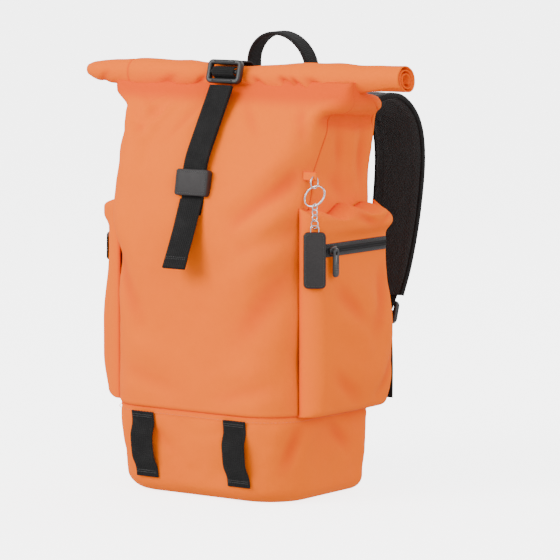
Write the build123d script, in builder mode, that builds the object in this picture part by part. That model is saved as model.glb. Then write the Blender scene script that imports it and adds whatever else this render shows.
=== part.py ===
from build123d import *
import os
from math import cos, radians, sin

# Roll-top daypack, one solid piece per node. Millimetres, +Z up, front at -Y, right side at +X.
# The origin is the middle of the rest face under the lower section.

os.makedirs("parts", exist_ok=True)

# --- Driving dimensions -------------------------------------------------------------------------
HALF_WIDTH = 102.0          # middle plane to a side panel's outer face
FRONT_Y = -80.0             # front face of the lower section
BACK_Y = 70.0               # outer face of the back panel
BACK_PAD = 10.0             # thickness of the padding on the back panel
FRONT_CORNER = 46.0         # the soft front corners
BACK_CORNER = 20.0          # the firmer back corners
FABRIC = 2.4                # fabric and its lining
BASE_HEIGHT = 80.0          # floor to the seam round the lower section
BASE_ROUND = 14.0           # rounding of the lower section's bottom edge
BOARD = 3.0                 # stiffening board in the base
CHEST_Z = 230.0             # up to here the front is almost upright
CHEST_Y = FRONT_Y + 3
SHOULDER_Z = 290.0          # from here up the front folds back to the mouth
SHOULDER_Y = FRONT_Y + 14
FOLD_Z = 330.0              # the sides widen above this
FOLD_Y = FRONT_Y + 34
SHELF_Z = 352.0             # from here the back folds forward almost level to the mouth
SHELF_Y = BACK_Y - 14
SHELF_HALF_WIDTH = HALF_WIDTH + 16
MOUTH_Z = 368.0             # the mouth, under the rolled collar
MOUTH_FRONT_Y = FRONT_Y + 60
MOUTH_BACK_Y = MOUTH_FRONT_Y + 28
MOUTH_HALF_WIDTH = HALF_WIDTH + 38
ROLL_Z = MOUTH_Z + 13       # centre line of the rolled collar
COLLAR_NECK = 4.0           # collar between the mouth and the roll

POCKET_FRONT_Y = FRONT_Y + 30
POCKET_BACK_Y = BACK_Y - 4
POCKET_TOP_Z = SHOULDER_Z - 22
POCKET_BULGE = 20.0         # how far a side pocket stands off the side panel
POCKET_CORNER = 20.0        # upright rounding at the pocket's front end
POCKET_WALL = 2.2
ZIP_Z = POCKET_TOP_Z - 38    # centre line of the pocket zips
ZIP_FRONT_Y = POCKET_FRONT_Y + 12
ZIP_BACK_Y = POCKET_BACK_Y - 10
TAPE_HEIGHT = 12.0
TAPE = 0.8
COIL_HEIGHT = 5.0
COIL = 1.2
SLIDER_LENGTH = 11.0
SLIDER_HEIGHT = 9.0
SLIDER = 3.0
PULL_LENGTH = 26.0
PULL_WIDTH = 9.0
PULL = 1.8
SLIDER_Y = ZIP_FRONT_Y + 7  # slider's centre with the zip shut

WEBBING = 1.8               # thickness of one layer
WEBBING_WIDTH = 25.0
GEAR_LOOP_X = 52.0          # centre line of each gear loop
GEAR_LOOP_TOP = BASE_HEIGHT - 4
GEAR_LOOP_GAP = 5.0         # room behind a loop for a hook or a lash strap
BUCKLE_WIDTH = 38.0
BUCKLE_HEIGHT = 22.0
BUCKLE = 6.0
BUCKLE_SLOT = 4.2
BADGE_WIDTH = 36.0
BADGE_HEIGHT = 24.0
BADGE_WALL = 1.6
BADGE_Z = SHOULDER_Z - 3
TAIL_LENGTH = 66.0
TAIL_ANGLE = 24.0           # how far the strap's loose end stands off the front
HANDLE_X = 33.0             # centre line of each leg of the haul handle
HANDLE_Z = FOLD_Z + 8       # where its legs leave the back panel
HANDLE_HEIGHT = 80.0
HANDLE_WIDTH = 20.0
HANDLE = 3.0
HANDLE_LEAN = 10.0          # degrees towards the front

PAD_WIDTH = 112.0
PAD_BOTTOM = 30.0
PAD_TOP = FOLD_Z - 40
YOKE = 3.0                  # thickness of the yoke and of the lower wings
YOKE_WIDTH = 2 * (HALF_WIDTH - BACK_CORNER)
STRAP = 10.0                # thickness of a padded shoulder strap
ROOT_X = 60.0               # centre line of a strap where it is sewn to the yoke
ROOT_WIDTH = 40.0
WING_X = HALF_WIDTH - 33               # centre line of the webbing at a lower wing
WING_Z = 34.0               # lower edge of a lower wing
ADJUSTER = 5.0
ADJUSTER_HEIGHT = 22.0
LOOSE_LENGTH = 70.0         # loose webbing below an adjuster

KEY_EYE = (HALF_WIDTH + 8, FRONT_Y + 42, SHOULDER_Z + 6)
TAB_LENGTH = 16.0
TAB_HEIGHT = 8.0
TAB = 3.4
EYE = 2.2
SMALL_RING = 5.5            # radii of the rings' centre lines, and of their wire
SMALL_WIRE = 0.7
KEY_RING = 10.2
KEY_WIRE = 0.9
CHAIN_LINK = 3.0
CHAIN_WIRE = 0.6
CHARM_LINK = 4.0
CHARM_WIDTH = 20.0
CHARM_LENGTH = 50.0
CHARM = 6.0

CLEAR = 0.4                 # running clearance between pieces that move past each other
RING_CLEAR = 0.15           # between two rings that hang in each other


def outline(height, half_width, front, back, front_corner, back_corner):
    """Returns the bag's plan outline at a height: round at the front, squarer at the back."""
    corners = [(-half_width, front), (half_width, front), (half_width, back), (-half_width, back)]
    with BuildSketch(Plane.XY.offset(height)) as plan:
        with BuildLine():
            FilletPolyline(*corners, radius=[front_corner, front_corner, back_corner, back_corner],
                           close=True)
        make_face()
    return plan.sketch


# The front runs straight from the fold to the mouth, so at the shelf it lies between the two.
SHELF_FRONT_Y = FOLD_Y + (MOUTH_FRONT_Y - FOLD_Y) * (SHELF_Z - FOLD_Z) / (MOUTH_Z - FOLD_Z)

# Height, half width, front, back, front corner, back corner, and where the two upright seams run.
LEVELS = [
    (BASE_HEIGHT, HALF_WIDTH, FRONT_Y, BACK_Y, FRONT_CORNER, BACK_CORNER, FRONT_Y + 34, BACK_Y - 12),
    (CHEST_Z, HALF_WIDTH, CHEST_Y, BACK_Y, FRONT_CORNER, BACK_CORNER, CHEST_Y + 34, BACK_Y - 12),
    (SHOULDER_Z, HALF_WIDTH, SHOULDER_Y, BACK_Y, FRONT_CORNER - 4, BACK_CORNER, SHOULDER_Y + 36, BACK_Y - 12),
    (FOLD_Z, HALF_WIDTH + 6, FOLD_Y, BACK_Y, FRONT_CORNER - 16, BACK_CORNER, FOLD_Y + 28, BACK_Y - 12),
    (SHELF_Z, SHELF_HALF_WIDTH, SHELF_FRONT_Y, SHELF_Y, 20, 18, SHELF_FRONT_Y + 18, SHELF_Y - 14),
    (MOUTH_Z, MOUTH_HALF_WIDTH, MOUTH_FRONT_Y, MOUTH_BACK_Y, 10, 10, MOUTH_FRONT_Y + 9, MOUTH_BACK_Y - 8),
]


def upper_volume(inset):
    """Returns the bag above the lower section as one block, drawn in by inset all round."""
    with BuildPart() as volume:
        for height, half_width, front, back, front_corner, back_corner, _, _ in LEVELS:
            add(outline(height, half_width - inset, front + inset, back - inset, front_corner - inset,
                        back_corner - inset))
        loft(ruled=True)
    return volume.part


def seam_zone(near, seam_index):
    """Returns the block between the plane Y = near and the upright seam in a column of LEVELS."""
    reach = 200.0
    with BuildPart() as zone:
        for level in LEVELS:
            seam = level[seam_index]
            with BuildSketch(Plane.XY.offset(level[0])):
                Polygon((-reach, near), (reach, near), (reach, seam), (-reach, seam), align=None)
        loft(ruled=True)
    return zone.part


def ribbon(points, radius, thickness, width, middle=0.0):
    """Returns flat webbing that runs through (Y, Z) points, its width centred on X = middle."""
    with BuildPart() as band:
        with BuildSketch(Plane.YZ.offset(middle)):
            with BuildLine() as run:
                FilletPolyline(*points, radius=radius)
            trace(run.line, line_width=thickness)
        extrude(amount=width / 2, both=True)
    return band.part


def lifted(points, height):
    """Returns (Y, Z) points moved off a surface by height, to the left of their direction."""
    ways = [(Vector(*b) - Vector(*a)).normalized() for a, b in zip(points, points[1:])]
    sides = [Vector(-way.Y, way.X) for way in ways]
    raised = []
    for spot, before, after in zip(points, [sides[0]] + sides, sides + [sides[-1]]):
        mitre = (before + after) * (height / (1 + before.dot(after)))
        raised.append((spot[0] + mitre.X, spot[1] + mitre.Y))
    return raised


def save(piece, name):
    """Labels a finished piece and writes it."""
    piece.part.label = name
    export_step(piece.part, f"parts/{name}.step")


def save_pair(piece, name):
    """Writes a right-hand piece and its mirror image on the left."""
    with BuildPart() as left_piece:
        mirror(piece.part, about=Plane.YZ)
    save(piece, f"right_{name}")
    save(left_piece, f"left_{name}")


def frame(width, height, thickness, plane, bar):
    """Returns a ladder-lock buckle: a flat frame with a middle bar and a slot on each side of it."""
    slot_height = (height - 3 * bar) / 2
    with BuildPart() as buckle:
        with BuildSketch(plane):
            RectangleRounded(width, height, bar)
            with GridLocations(0, slot_height + bar, 1, 2):
                Rectangle(WEBBING_WIDTH + 2 * CLEAR, slot_height, mode=Mode.SUBTRACT)
        extrude(amount=thickness / 2, both=True)
    return buckle.part


# --- Body panels --------------------------------------------------------------------------------
outer = upper_volume(0)
inner = upper_volume(FABRIC)
front_zone = seam_zone(-200.0, 6)
back_zone = seam_zone(200.0, 7)

with BuildPart() as front_panel:
    add(outer)
    add(inner, mode=Mode.SUBTRACT)
    add(front_zone, mode=Mode.INTERSECT)
save(front_panel, "front_panel")

with BuildPart() as back_panel:
    add(outer)
    add(inner, mode=Mode.SUBTRACT)
    add(back_zone, mode=Mode.INTERSECT)
save(back_panel, "back_panel")

for side, keep in (("left", Keep.BOTTOM), ("right", Keep.TOP)):
    with BuildPart() as side_panel:
        add(outer)
        add(inner, mode=Mode.SUBTRACT)
        add(front_zone, mode=Mode.SUBTRACT)
        add(back_zone, mode=Mode.SUBTRACT)
        split(bisect_by=Plane.YZ, keep=keep)
    save(side_panel, f"{side}_side_panel")

with BuildPart() as base_bucket:
    add(outline(0, HALF_WIDTH, FRONT_Y, BACK_Y, FRONT_CORNER, BACK_CORNER))
    extrude(amount=BASE_HEIGHT)
    fillet(base_bucket.faces().sort_by(Axis.Z)[0].edges(), BASE_ROUND)
with BuildPart() as base_room:
    add(outline(FABRIC, HALF_WIDTH - FABRIC, FRONT_Y + FABRIC, BACK_Y - FABRIC, FRONT_CORNER - FABRIC,
                BACK_CORNER - FABRIC))
    extrude(amount=BASE_HEIGHT - FABRIC)
    fillet(base_room.faces().sort_by(Axis.Z)[0].edges(), BASE_ROUND - FABRIC)
with base_bucket:
    add(base_room.part, mode=Mode.SUBTRACT)
save(base_bucket, "base_bucket")

with BuildPart() as base_board:
    board_inset = BASE_ROUND + FABRIC
    add(outline(FABRIC, HALF_WIDTH - board_inset, FRONT_Y + board_inset, BACK_Y - board_inset,
                FRONT_CORNER - board_inset, BACK_CORNER / 3))
    extrude(amount=BOARD)
save(base_board, "base_board")

# --- Rolled collar: X, centre Y and radius along the roll, pinched where the closing strap crosses --
roll_end = MOUTH_HALF_WIDTH + 8
roll_y = MOUTH_FRONT_Y + 11
ROLL = [(-roll_end - 15, roll_y + 3, 7.5), (-roll_end, roll_y + 2, 11.5), (-80, roll_y + 1, 13),
        (-28, roll_y, 12.5), (0, roll_y, 9), (28, roll_y + 1, 12.5), (80, roll_y + 4, 14),
        (roll_end, roll_y + 21, 13.5), (roll_end + 17, roll_y + 26, 11.5)]
with BuildPart() as rolled_collar:
    for x, y, radius in ROLL:
        with BuildSketch(Plane.YZ.offset(x)):
            with Locations((y, ROLL_Z)):
                Circle(radius)
    loft(ruled=True)
    add(outline(MOUTH_Z, MOUTH_HALF_WIDTH, MOUTH_FRONT_Y, MOUTH_BACK_Y, 10, 10))
    extrude(amount=COLLAR_NECK)
    split(bisect_by=Plane.XY.offset(MOUTH_Z), keep=Keep.TOP)
save(rolled_collar, "rolled_collar")

# --- Side pockets and their zips ----------------------------------------------------------------
pocket_x = HALF_WIDTH + POCKET_BULGE


def pocket_block(inset):
    """Returns a right-hand pocket as one block that reaches into the body, drawn in by inset."""
    reach = 30.0
    rear_corner = 12.0
    top_round = 8.0
    front, back = POCKET_FRONT_Y + inset, POCKET_BACK_Y - inset
    outside = pocket_x - inset
    with BuildPart() as block:
        with BuildSketch(Plane.XY.offset(BASE_HEIGHT + inset)) as plan:
            Polygon((HALF_WIDTH - reach, front), (outside, front), (outside, back),
                    (HALF_WIDTH - reach, back), align=None)
            far_corners = plan.vertices().group_by(Axis.X)[-1].sort_by(Axis.Y)
            fillet(far_corners[0], POCKET_CORNER - inset)
            fillet(plan.vertices().group_by(Axis.X)[-1].sort_by(Axis.Y)[-1], rear_corner - inset)
        extrude(amount=POCKET_TOP_Z - BASE_HEIGHT - 2 * inset)
        rim = block.faces().sort_by(Axis.Z)[-1].edges()
        fillet(rim.filter_by(lambda edge: edge.center().X > HALF_WIDTH - reach + 1), top_round - inset)
    return block.part


with BuildPart() as pocket:
    add(pocket_block(0))
    add(pocket_block(POCKET_WALL), mode=Mode.SUBTRACT)
    add(outer, mode=Mode.SUBTRACT)
save_pair(pocket, "pocket")

zip_length = ZIP_BACK_Y - ZIP_FRONT_Y
zip_middle = (ZIP_BACK_Y + ZIP_FRONT_Y) / 2
with BuildPart() as zip_tape:
    with BuildSketch(Plane.YZ.offset(pocket_x)):
        with Locations((zip_middle, ZIP_Z)):
            Rectangle(zip_length, TAPE_HEIGHT)
    extrude(amount=TAPE)
save_pair(zip_tape, "zip_tape")

with BuildPart() as zip_coil:
    with BuildSketch(Plane.YZ.offset(pocket_x + TAPE)):
        with Locations((zip_middle, ZIP_Z)):
            Rectangle(zip_length, COIL_HEIGHT)
    extrude(amount=COIL)
save_pair(zip_coil, "zip_coil")

slider_x = pocket_x + TAPE + COIL + CLEAR
with BuildPart() as zip_slider:
    with BuildSketch(Plane.YZ.offset(slider_x)):
        with Locations((SLIDER_Y, ZIP_Z)):
            RectangleRounded(SLIDER_LENGTH, SLIDER_HEIGHT, 2)
    extrude(amount=SLIDER)
save_pair(zip_slider, "zip_slider")

pull_x = slider_x + SLIDER + CLEAR
with BuildPart() as zip_pull:
    with BuildSketch(Plane.YZ.offset(pull_x)):
        with Locations((SLIDER_Y, ZIP_Z + PULL_WIDTH / 4 - PULL_LENGTH / 2)):
            SlotOverall(PULL_LENGTH, PULL_WIDTH, rotation=90)
        with Locations((SLIDER_Y, ZIP_Z - PULL_WIDTH / 4)):
            Circle(PULL_WIDTH / 5, mode=Mode.SUBTRACT)
    extrude(amount=PULL)
save_pair(zip_pull, "zip_pull")

# --- Gear loops on the lower section ------------------------------------------------------------
sewn_y = FRONT_Y - WEBBING / 2
proud_y = sewn_y - GEAR_LOOP_GAP
loop_run = [(sewn_y, GEAR_LOOP_TOP), (sewn_y, GEAR_LOOP_TOP - 12), (proud_y, GEAR_LOOP_TOP - 20),
            (proud_y, BASE_ROUND + 18), (sewn_y, BASE_ROUND + 10), (sewn_y, BASE_ROUND + 1)]
with BuildPart() as gear_loop:
    add(ribbon(loop_run, 3, WEBBING, WEBBING_WIDTH, GEAR_LOOP_X))
save_pair(gear_loop, "gear_loop")

# --- Closing strap: over the roll, through the buckle, down the front and under the badge -------
lift = WEBBING / 2 + 0.3    # webbing's middle layer off the fabric it lies on
over_roll = ROLL_Z + 12.4
back_start = (BACK_Y - (BACK_Y - SHELF_Y) / 2, (FOLD_Z + SHELF_Z) / 2)
rear_run = lifted([(MOUTH_BACK_Y + 2.4, MOUTH_Z - 0.7), (SHELF_Y, SHELF_Z), back_start], lift)[::-1]
rear_run += [(MOUTH_BACK_Y - 3.4, over_roll), (MOUTH_BACK_Y - 25, over_roll)]
with BuildPart() as closure_rear_webbing:
    add(ribbon(rear_run, [6, 4, 8], WEBBING, WEBBING_WIDTH))
save(closure_rear_webbing, "closure_rear_webbing")

bend = (SHOULDER_Y - 1.2, SHOULDER_Z + 15)      # the pulled strap cuts the corner of the front here
anchor_run = [(CHEST_Y + 3.1, CHEST_Z + 19), (CHEST_Y + 2, CHEST_Z + 28.5), bend,
              (MOUTH_FRONT_Y - 7.5, MOUTH_Z + 4)]
with BuildPart() as closure_anchor_webbing:
    add(ribbon(anchor_run, [20, 20], WEBBING, WEBBING_WIDTH))
    add(outer, mode=Mode.SUBTRACT)
save(closure_anchor_webbing, "closure_anchor_webbing")

layer_step = WEBBING + CLEAR
return_run = [(bend[0] - 4.8 - layer_step, BADGE_Z - 10), (bend[0] - layer_step, bend[1] + 0.8),
              (MOUTH_FRONT_Y - 9.7, MOUTH_Z + 4.8)]
with BuildPart() as closure_return_webbing:
    add(ribbon(return_run, 20, WEBBING, WEBBING_WIDTH))
save(closure_return_webbing, "closure_return_webbing")

badge_lean = 9.5            # the strap's slope where the badge holds it
badge_out = Vector(0, -cos(radians(badge_lean)), sin(radians(badge_lean)))
badge_plane = Plane(origin=(0, SHOULDER_Y - 5.3, BADGE_Z), x_dir=(1, 0, 0), z_dir=badge_out)
badge_room = 2 * WEBBING + 3 * CLEAR
with BuildPart() as badge_keeper:
    with BuildSketch(badge_plane):
        RectangleRounded(BADGE_WIDTH, BADGE_HEIGHT, 2.5)
    extrude(amount=badge_room / 2 + BADGE_WALL, both=True)
    with BuildSketch(badge_plane):
        Rectangle(WEBBING_WIDTH + 2 * CLEAR, BADGE_HEIGHT + 2)
    extrude(amount=badge_room / 2, both=True, mode=Mode.SUBTRACT)
save(badge_keeper, "badge_keeper")

tail_top = (SHOULDER_Y - 8.6, BADGE_Z - BADGE_HEIGHT / 2 - 2.6)
tail_way = Vector(-sin(radians(TAIL_ANGLE)), -cos(radians(TAIL_ANGLE)))
hem = 12.0
tail_end = (tail_top[0] + TAIL_LENGTH * tail_way.X, tail_top[1] + TAIL_LENGTH * tail_way.Y)
hem_start = (tail_end[0] - hem * tail_way.X, tail_end[1] - hem * tail_way.Y)
with BuildPart() as closure_tail:
    with BuildSketch(Plane.YZ):
        with BuildLine() as tail_line:
            Line(tail_top, tail_end)
        trace(tail_line.line, line_width=WEBBING)
        with BuildLine() as hem_line:
            Line(hem_start, tail_end)
        trace(hem_line.line, line_width=2 * WEBBING)
    extrude(amount=WEBBING_WIDTH / 2, both=True)
save(closure_tail, "closure_tail")

buckle_lean = 15.0
buckle_out = Vector(0, -cos(radians(buckle_lean)), sin(radians(buckle_lean)))
buckle_plane = Plane(origin=(0, MOUTH_FRONT_Y - 3.5, ROLL_Z + 3.9), x_dir=(1, 0, 0), z_dir=buckle_out)
with BuildPart() as closure_buckle:
    add(frame(BUCKLE_WIDTH, BUCKLE_HEIGHT, BUCKLE, buckle_plane, (BUCKLE_HEIGHT - 2 * BUCKLE_SLOT) / 3))
save(closure_buckle, "closure_buckle")

# --- Yoke and haul handle -----------------------------------------------------------------------
with BuildPart() as back_pad:
    with BuildSketch(Plane.XZ.offset(-BACK_Y)):
        with Locations((0, (PAD_BOTTOM + PAD_TOP) / 2)):
            RectangleRounded(PAD_WIDTH, PAD_TOP - PAD_BOTTOM, 14)
    extrude(amount=-BACK_PAD)
    fillet(back_pad.faces().sort_by(Axis.Y)[-1].edges(), 4)
save(back_pad, "back_pad")

with BuildPart() as strap_yoke:
    with BuildSketch(Plane.XZ.offset(-BACK_Y)):
        with Locations((0, (PAD_TOP + 4 + FOLD_Z - 2) / 2)):
            RectangleRounded(YOKE_WIDTH, FOLD_Z - 2 - PAD_TOP - 4, 4)
    extrude(amount=-YOKE)
save(strap_yoke, "strap_yoke")

yoke_y = BACK_Y + YOKE
with BuildPart() as haul_handle_ends:
    with BuildSketch(Plane.XZ.offset(-yoke_y)):
        with Locations((-HANDLE_X, HANDLE_Z - 18), (HANDLE_X, HANDLE_Z - 18)):
            Rectangle(12, 36)
    extrude(amount=-HANDLE)
save(haul_handle_ends, "haul_handle_ends")

handle_y = yoke_y + HANDLE / 2
handle_plane = Plane(origin=(0, handle_y, HANDLE_Z), x_dir=(1, 0, 0),
                     z_dir=(0, -cos(radians(HANDLE_LEAN)), -sin(radians(HANDLE_LEAN))))
handle_foot = 4.0           # a leg starts this far above its fold
with BuildPart() as haul_handle:
    with BuildSketch(handle_plane):
        with BuildLine() as arch:
            Line((-HANDLE_X, handle_foot), (-HANDLE_X, HANDLE_HEIGHT - HANDLE_X))
            ThreePointArc((-HANDLE_X, HANDLE_HEIGHT - HANDLE_X), (0, HANDLE_HEIGHT),
                          (HANDLE_X, HANDLE_HEIGHT - HANDLE_X))
            Line((HANDLE_X, HANDLE_HEIGHT - HANDLE_X), (HANDLE_X, handle_foot))
        trace(arch.line, line_width=HANDLE)
    extrude(amount=HANDLE_WIDTH / 2, both=True)
save(haul_handle, "haul_handle")

# --- Shoulder straps: each hangs between the yoke and a lower corner ----------------------------
with BuildPart() as strap_root:
    with BuildSketch(Plane.XZ.offset(-yoke_y)):
        with Locations((ROOT_X, (PAD_TOP + 4 + HANDLE_Z - 2) / 2)):
            Rectangle(ROOT_WIDTH, HANDLE_Z - 2 - PAD_TOP - 4)
    extrude(amount=-(STRAP - 2))
save_pair(strap_root, "strap_root")


def band_through(sections, thickness):
    """Returns a flat band lofted through (X, Y, Z, width) sections, each square to the run."""
    with BuildPart() as band:
        for index, (x, y, z, width) in enumerate(sections):
            ahead = Vector(*sections[min(index + 1, len(sections) - 1)][:3])
            behind = Vector(*sections[max(index - 1, 0)][:3])
            run = (ahead - behind).normalized()
            across = (Vector(1, 0, 0) - run * run.X).normalized()
            with BuildSketch(Plane(origin=(x, y, z), x_dir=across, z_dir=run)):
                Rectangle(width, thickness)
        loft(ruled=True)
    return band.part


# A strap's middle line off the point where it leaves the yoke, and its width there.
STRAP_SHAPE = [(1, 14, 15, 42), (8, 29, 28, 48), (16, 47, 25, 52), (23, 60, 4, 54), (26, 63, -30, 54),
               (26, 57, -80, 52), (26, 48, -125, 46), (26, 40, -156, 38)]
STRAP_RUN = [(ROOT_X + x, BACK_Y + y, FOLD_Z + z, width) for x, y, z, width in STRAP_SHAPE]
with BuildPart() as shoulder_strap:
    add(band_through(STRAP_RUN, STRAP))
save_pair(shoulder_strap, "shoulder_strap")

strap_end = Vector(*STRAP_RUN[-1][:3])
web_end = Vector(WING_X, BACK_Y + 15, WING_Z + 62)
web_way = (web_end - strap_end).normalized()
web_start = strap_end + web_way * 3
with BuildPart() as strap_webbing:
    add(band_through([(*web_start, WEBBING_WIDTH), (*web_end, WEBBING_WIDTH)], WEBBING))
save_pair(strap_webbing, "strap_webbing")

adjuster_out = Vector(0, -web_way.Z, web_way.Y).normalized()
adjuster_gap = WEBBING / 2 + CLEAR + ADJUSTER / 2
adjuster_centre = strap_end + web_way * (ADJUSTER_HEIGHT / 2 + 4) + adjuster_out * adjuster_gap
adjuster_plane = Plane(origin=adjuster_centre, x_dir=(1, 0, 0), z_dir=adjuster_out)
with BuildPart() as strap_adjuster:
    add(frame(BUCKLE_WIDTH - 4, ADJUSTER_HEIGHT, ADJUSTER, adjuster_plane, 4))
save_pair(strap_adjuster, "strap_adjuster")

loose_x, loose_y, loose_z = adjuster_centre + web_way * ADJUSTER_HEIGHT / 2 + adjuster_out * 2
loose_run = [(loose_y + 2, loose_z - 1), (loose_y + 4, loose_z - LOOSE_LENGTH)]
with BuildPart() as strap_tail:
    with BuildSketch(Plane.YZ.offset(loose_x)):
        with BuildLine() as loose_line:
            Line(*loose_run)
        trace(loose_line.line, line_width=WEBBING)
    extrude(amount=WEBBING_WIDTH / 2, both=True)
save_pair(strap_tail, "strap_tail")

with BuildPart() as lower_wing:
    with BuildSketch(Plane.XZ.offset(-BACK_Y)):
        Polygon((WING_X - 11, WING_Z), (HALF_WIDTH - BACK_CORNER, WING_Z),
                (HALF_WIDTH - BACK_CORNER, WING_Z + 50), (WING_X - 6, WING_Z + 50), align=None)
    extrude(amount=-YOKE)
save_pair(lower_wing, "lower_wing")

wing_y = BACK_Y + YOKE + WEBBING / 2
wing_run = [(wing_y, WING_Z + 12), (wing_y, WING_Z + 34), (web_end.Y - 1, web_end.Z - 3)]
with BuildPart() as wing_webbing:
    add(ribbon(wing_run, 12, WEBBING, WEBBING_WIDTH, WING_X))
save_pair(wing_webbing, "wing_webbing")

# --- Key loop and charm: everything hangs outwards along one direction in plan ------------------
away = Vector(cos(radians(-53)), sin(radians(-53)), 0)
skew = [Vector(cos(radians(-53 + turn)), sin(radians(-53 + turn)), 0) for turn in (45, -45)]
down = Vector(0, 0, -1)
eye = Vector(*KEY_EYE)

with BuildPart() as key_loop_tab:
    with BuildSketch(Plane(origin=eye, x_dir=(1, 0, 0), z_dir=Vector(0, 0, 1))) as tab_plan:
        with Locations((-TAB_LENGTH / 2 + 3, 0)):
            RectangleRounded(TAB_LENGTH, TAB, TAB / 2 - 0.1)
    extrude(amount=TAB_HEIGHT / 2, both=True)
    with BuildSketch(Plane(origin=eye, x_dir=(1, 0, 0), z_dir=(0, -1, 0))):
        Circle(EYE)
    extrude(amount=TAB, both=True, mode=Mode.SUBTRACT)
    add(outer, mode=Mode.SUBTRACT)
save(key_loop_tab, "key_loop_tab")


def ring(centre, normal, radius, wire):
    """Returns a round wire ring about a centre, lying square to a normal."""
    with BuildPart(Plane(origin=centre, z_dir=normal)) as wire_ring:
        Torus(radius, wire)
    return wire_ring.part


small_centre = eye + down * SMALL_RING
with BuildPart() as small_ring:
    add(ring(small_centre, Vector(1, 0, 0), SMALL_RING, SMALL_WIRE))
save(small_ring, "small_ring")

key_slope = (away * 0.785 + down).normalized()
key_top = eye + down * (2 * SMALL_RING - SMALL_WIRE - KEY_WIRE - RING_CLEAR)
key_centre = key_top + key_slope * KEY_RING
with BuildPart() as key_ring:
    add(ring(key_centre, key_slope.cross(Vector(1, 0, 0)), KEY_RING, KEY_WIRE))
save(key_ring, "key_ring")

key_bottom = key_centre + key_slope * KEY_RING
chain_top = key_bottom - down * (KEY_WIRE + CHAIN_WIRE + RING_CLEAR)
link_pitch = 2 * (CHAIN_LINK - CHAIN_WIRE) - RING_CLEAR
with BuildPart() as key_chain:
    for index in range(3):
        link_centre = chain_top + down * (CHAIN_LINK + index * link_pitch)
        add(ring(link_centre, skew[index % 2], CHAIN_LINK, CHAIN_WIRE))
save(key_chain, "key_chain")

chain_bottom = chain_top + down * (2 * CHAIN_LINK + 2 * link_pitch)
link_top = chain_bottom - down * (2 * CHAIN_WIRE + RING_CLEAR)
with BuildPart() as charm_link:
    add(ring(link_top + down * CHARM_LINK, skew[1], CHARM_LINK, CHAIN_WIRE))
save(charm_link, "charm_link")

charm_eye = link_top + down * 2 * CHARM_LINK
charm_plane = Plane(origin=charm_eye, x_dir=Vector(-away.Y, away.X, 0), z_dir=away)
post = 7.0
with BuildPart() as key_charm:
    with BuildSketch(charm_plane):
        with Locations((0, -post / 2 - CHARM_LENGTH / 2)):
            RectangleRounded(CHARM_WIDTH, CHARM_LENGTH, 5)
    extrude(amount=CHARM / 2, both=True)
    with BuildSketch(charm_plane):
        Rectangle(CHARM, post + 0.2)
    extrude(amount=CHARM / 4, both=True)
    with BuildSketch(Plane(origin=charm_eye, z_dir=skew[1].cross(down))):
        Circle(EYE)
    extrude(amount=CHARM, both=True, mode=Mode.SUBTRACT)
save(key_charm, "key_charm")
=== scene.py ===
"""Looks of a soft roll-top daypack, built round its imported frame. Metres, +Z up, front at -Y."""

import logging
import math
from dataclasses import dataclass, field
from enum import Enum

import bmesh
import bpy
import numpy as np
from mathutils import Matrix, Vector, noise


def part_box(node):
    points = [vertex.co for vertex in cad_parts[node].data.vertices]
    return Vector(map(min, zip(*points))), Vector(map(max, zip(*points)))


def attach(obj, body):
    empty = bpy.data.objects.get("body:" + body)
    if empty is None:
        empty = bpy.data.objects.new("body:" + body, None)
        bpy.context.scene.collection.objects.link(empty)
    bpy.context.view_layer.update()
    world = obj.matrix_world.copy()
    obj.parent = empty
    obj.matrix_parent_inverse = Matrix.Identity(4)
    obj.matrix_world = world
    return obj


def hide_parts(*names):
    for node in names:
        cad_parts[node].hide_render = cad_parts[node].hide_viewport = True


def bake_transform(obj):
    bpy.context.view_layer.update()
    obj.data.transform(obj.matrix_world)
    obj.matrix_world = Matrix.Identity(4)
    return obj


LOG = logging.getLogger("daypack")
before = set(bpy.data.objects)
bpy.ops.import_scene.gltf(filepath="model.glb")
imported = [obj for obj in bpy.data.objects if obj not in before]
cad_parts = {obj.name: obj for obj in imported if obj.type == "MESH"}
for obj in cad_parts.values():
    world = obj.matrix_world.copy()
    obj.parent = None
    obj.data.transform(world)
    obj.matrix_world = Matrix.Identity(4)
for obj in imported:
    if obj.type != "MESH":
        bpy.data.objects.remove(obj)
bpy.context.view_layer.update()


# ---- Shader expressions ----
class Value:
    """A shader socket that takes part in Python expressions; each operation adds a Math node."""

    def __init__(self, painter: "Painter", socket: bpy.types.NodeSocket) -> None:
        """Wraps an output socket of a painter's tree."""
        self.painter = painter
        self.socket = socket

    def math(self, operation: str, *others: "Value | float") -> "Value":
        """Applies a Math operation with this value first."""
        return self.painter.node("ShaderNodeMath", {"operation": operation},
                dict(enumerate((self, *others))))

    def __add__(self, other: "Value | float") -> "Value":
        """Sum."""
        return self.math("ADD", other)

    __radd__ = __add__

    def __mul__(self, other: "Value | float") -> "Value":
        """Product."""
        return self.math("MULTIPLY", other)

    __rmul__ = __mul__

    def __sub__(self, other: "Value | float") -> "Value":
        """Difference."""
        return self.math("SUBTRACT", other)

    def __rsub__(self, other: float) -> "Value":
        """Difference with this value second."""
        return self.math("MULTIPLY", -1.0) + other

    def __truediv__(self, other: "Value | float") -> "Value":
        """Quotient."""
        return self.math("DIVIDE", other)

    def __gt__(self, other: "Value | float") -> "Value":
        """1 where this value is the larger, else 0."""
        return self.math("GREATER_THAN", other)

    def sin(self) -> "Value":
        """Sine, in radians."""
        return self.math("SINE")

    def abs(self) -> "Value":
        """Absolute value."""
        return self.math("ABSOLUTE")

    def power(self, exponent: float) -> "Value":
        """This value to an exponent."""
        return self.math("POWER", exponent)

    def clamp(self) -> "Value":
        """This value kept from 0 to 1."""
        return self.math("MAXIMUM", 0.0).math("MINIMUM", 1.0)


Colour = tuple[float, float, float]


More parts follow.
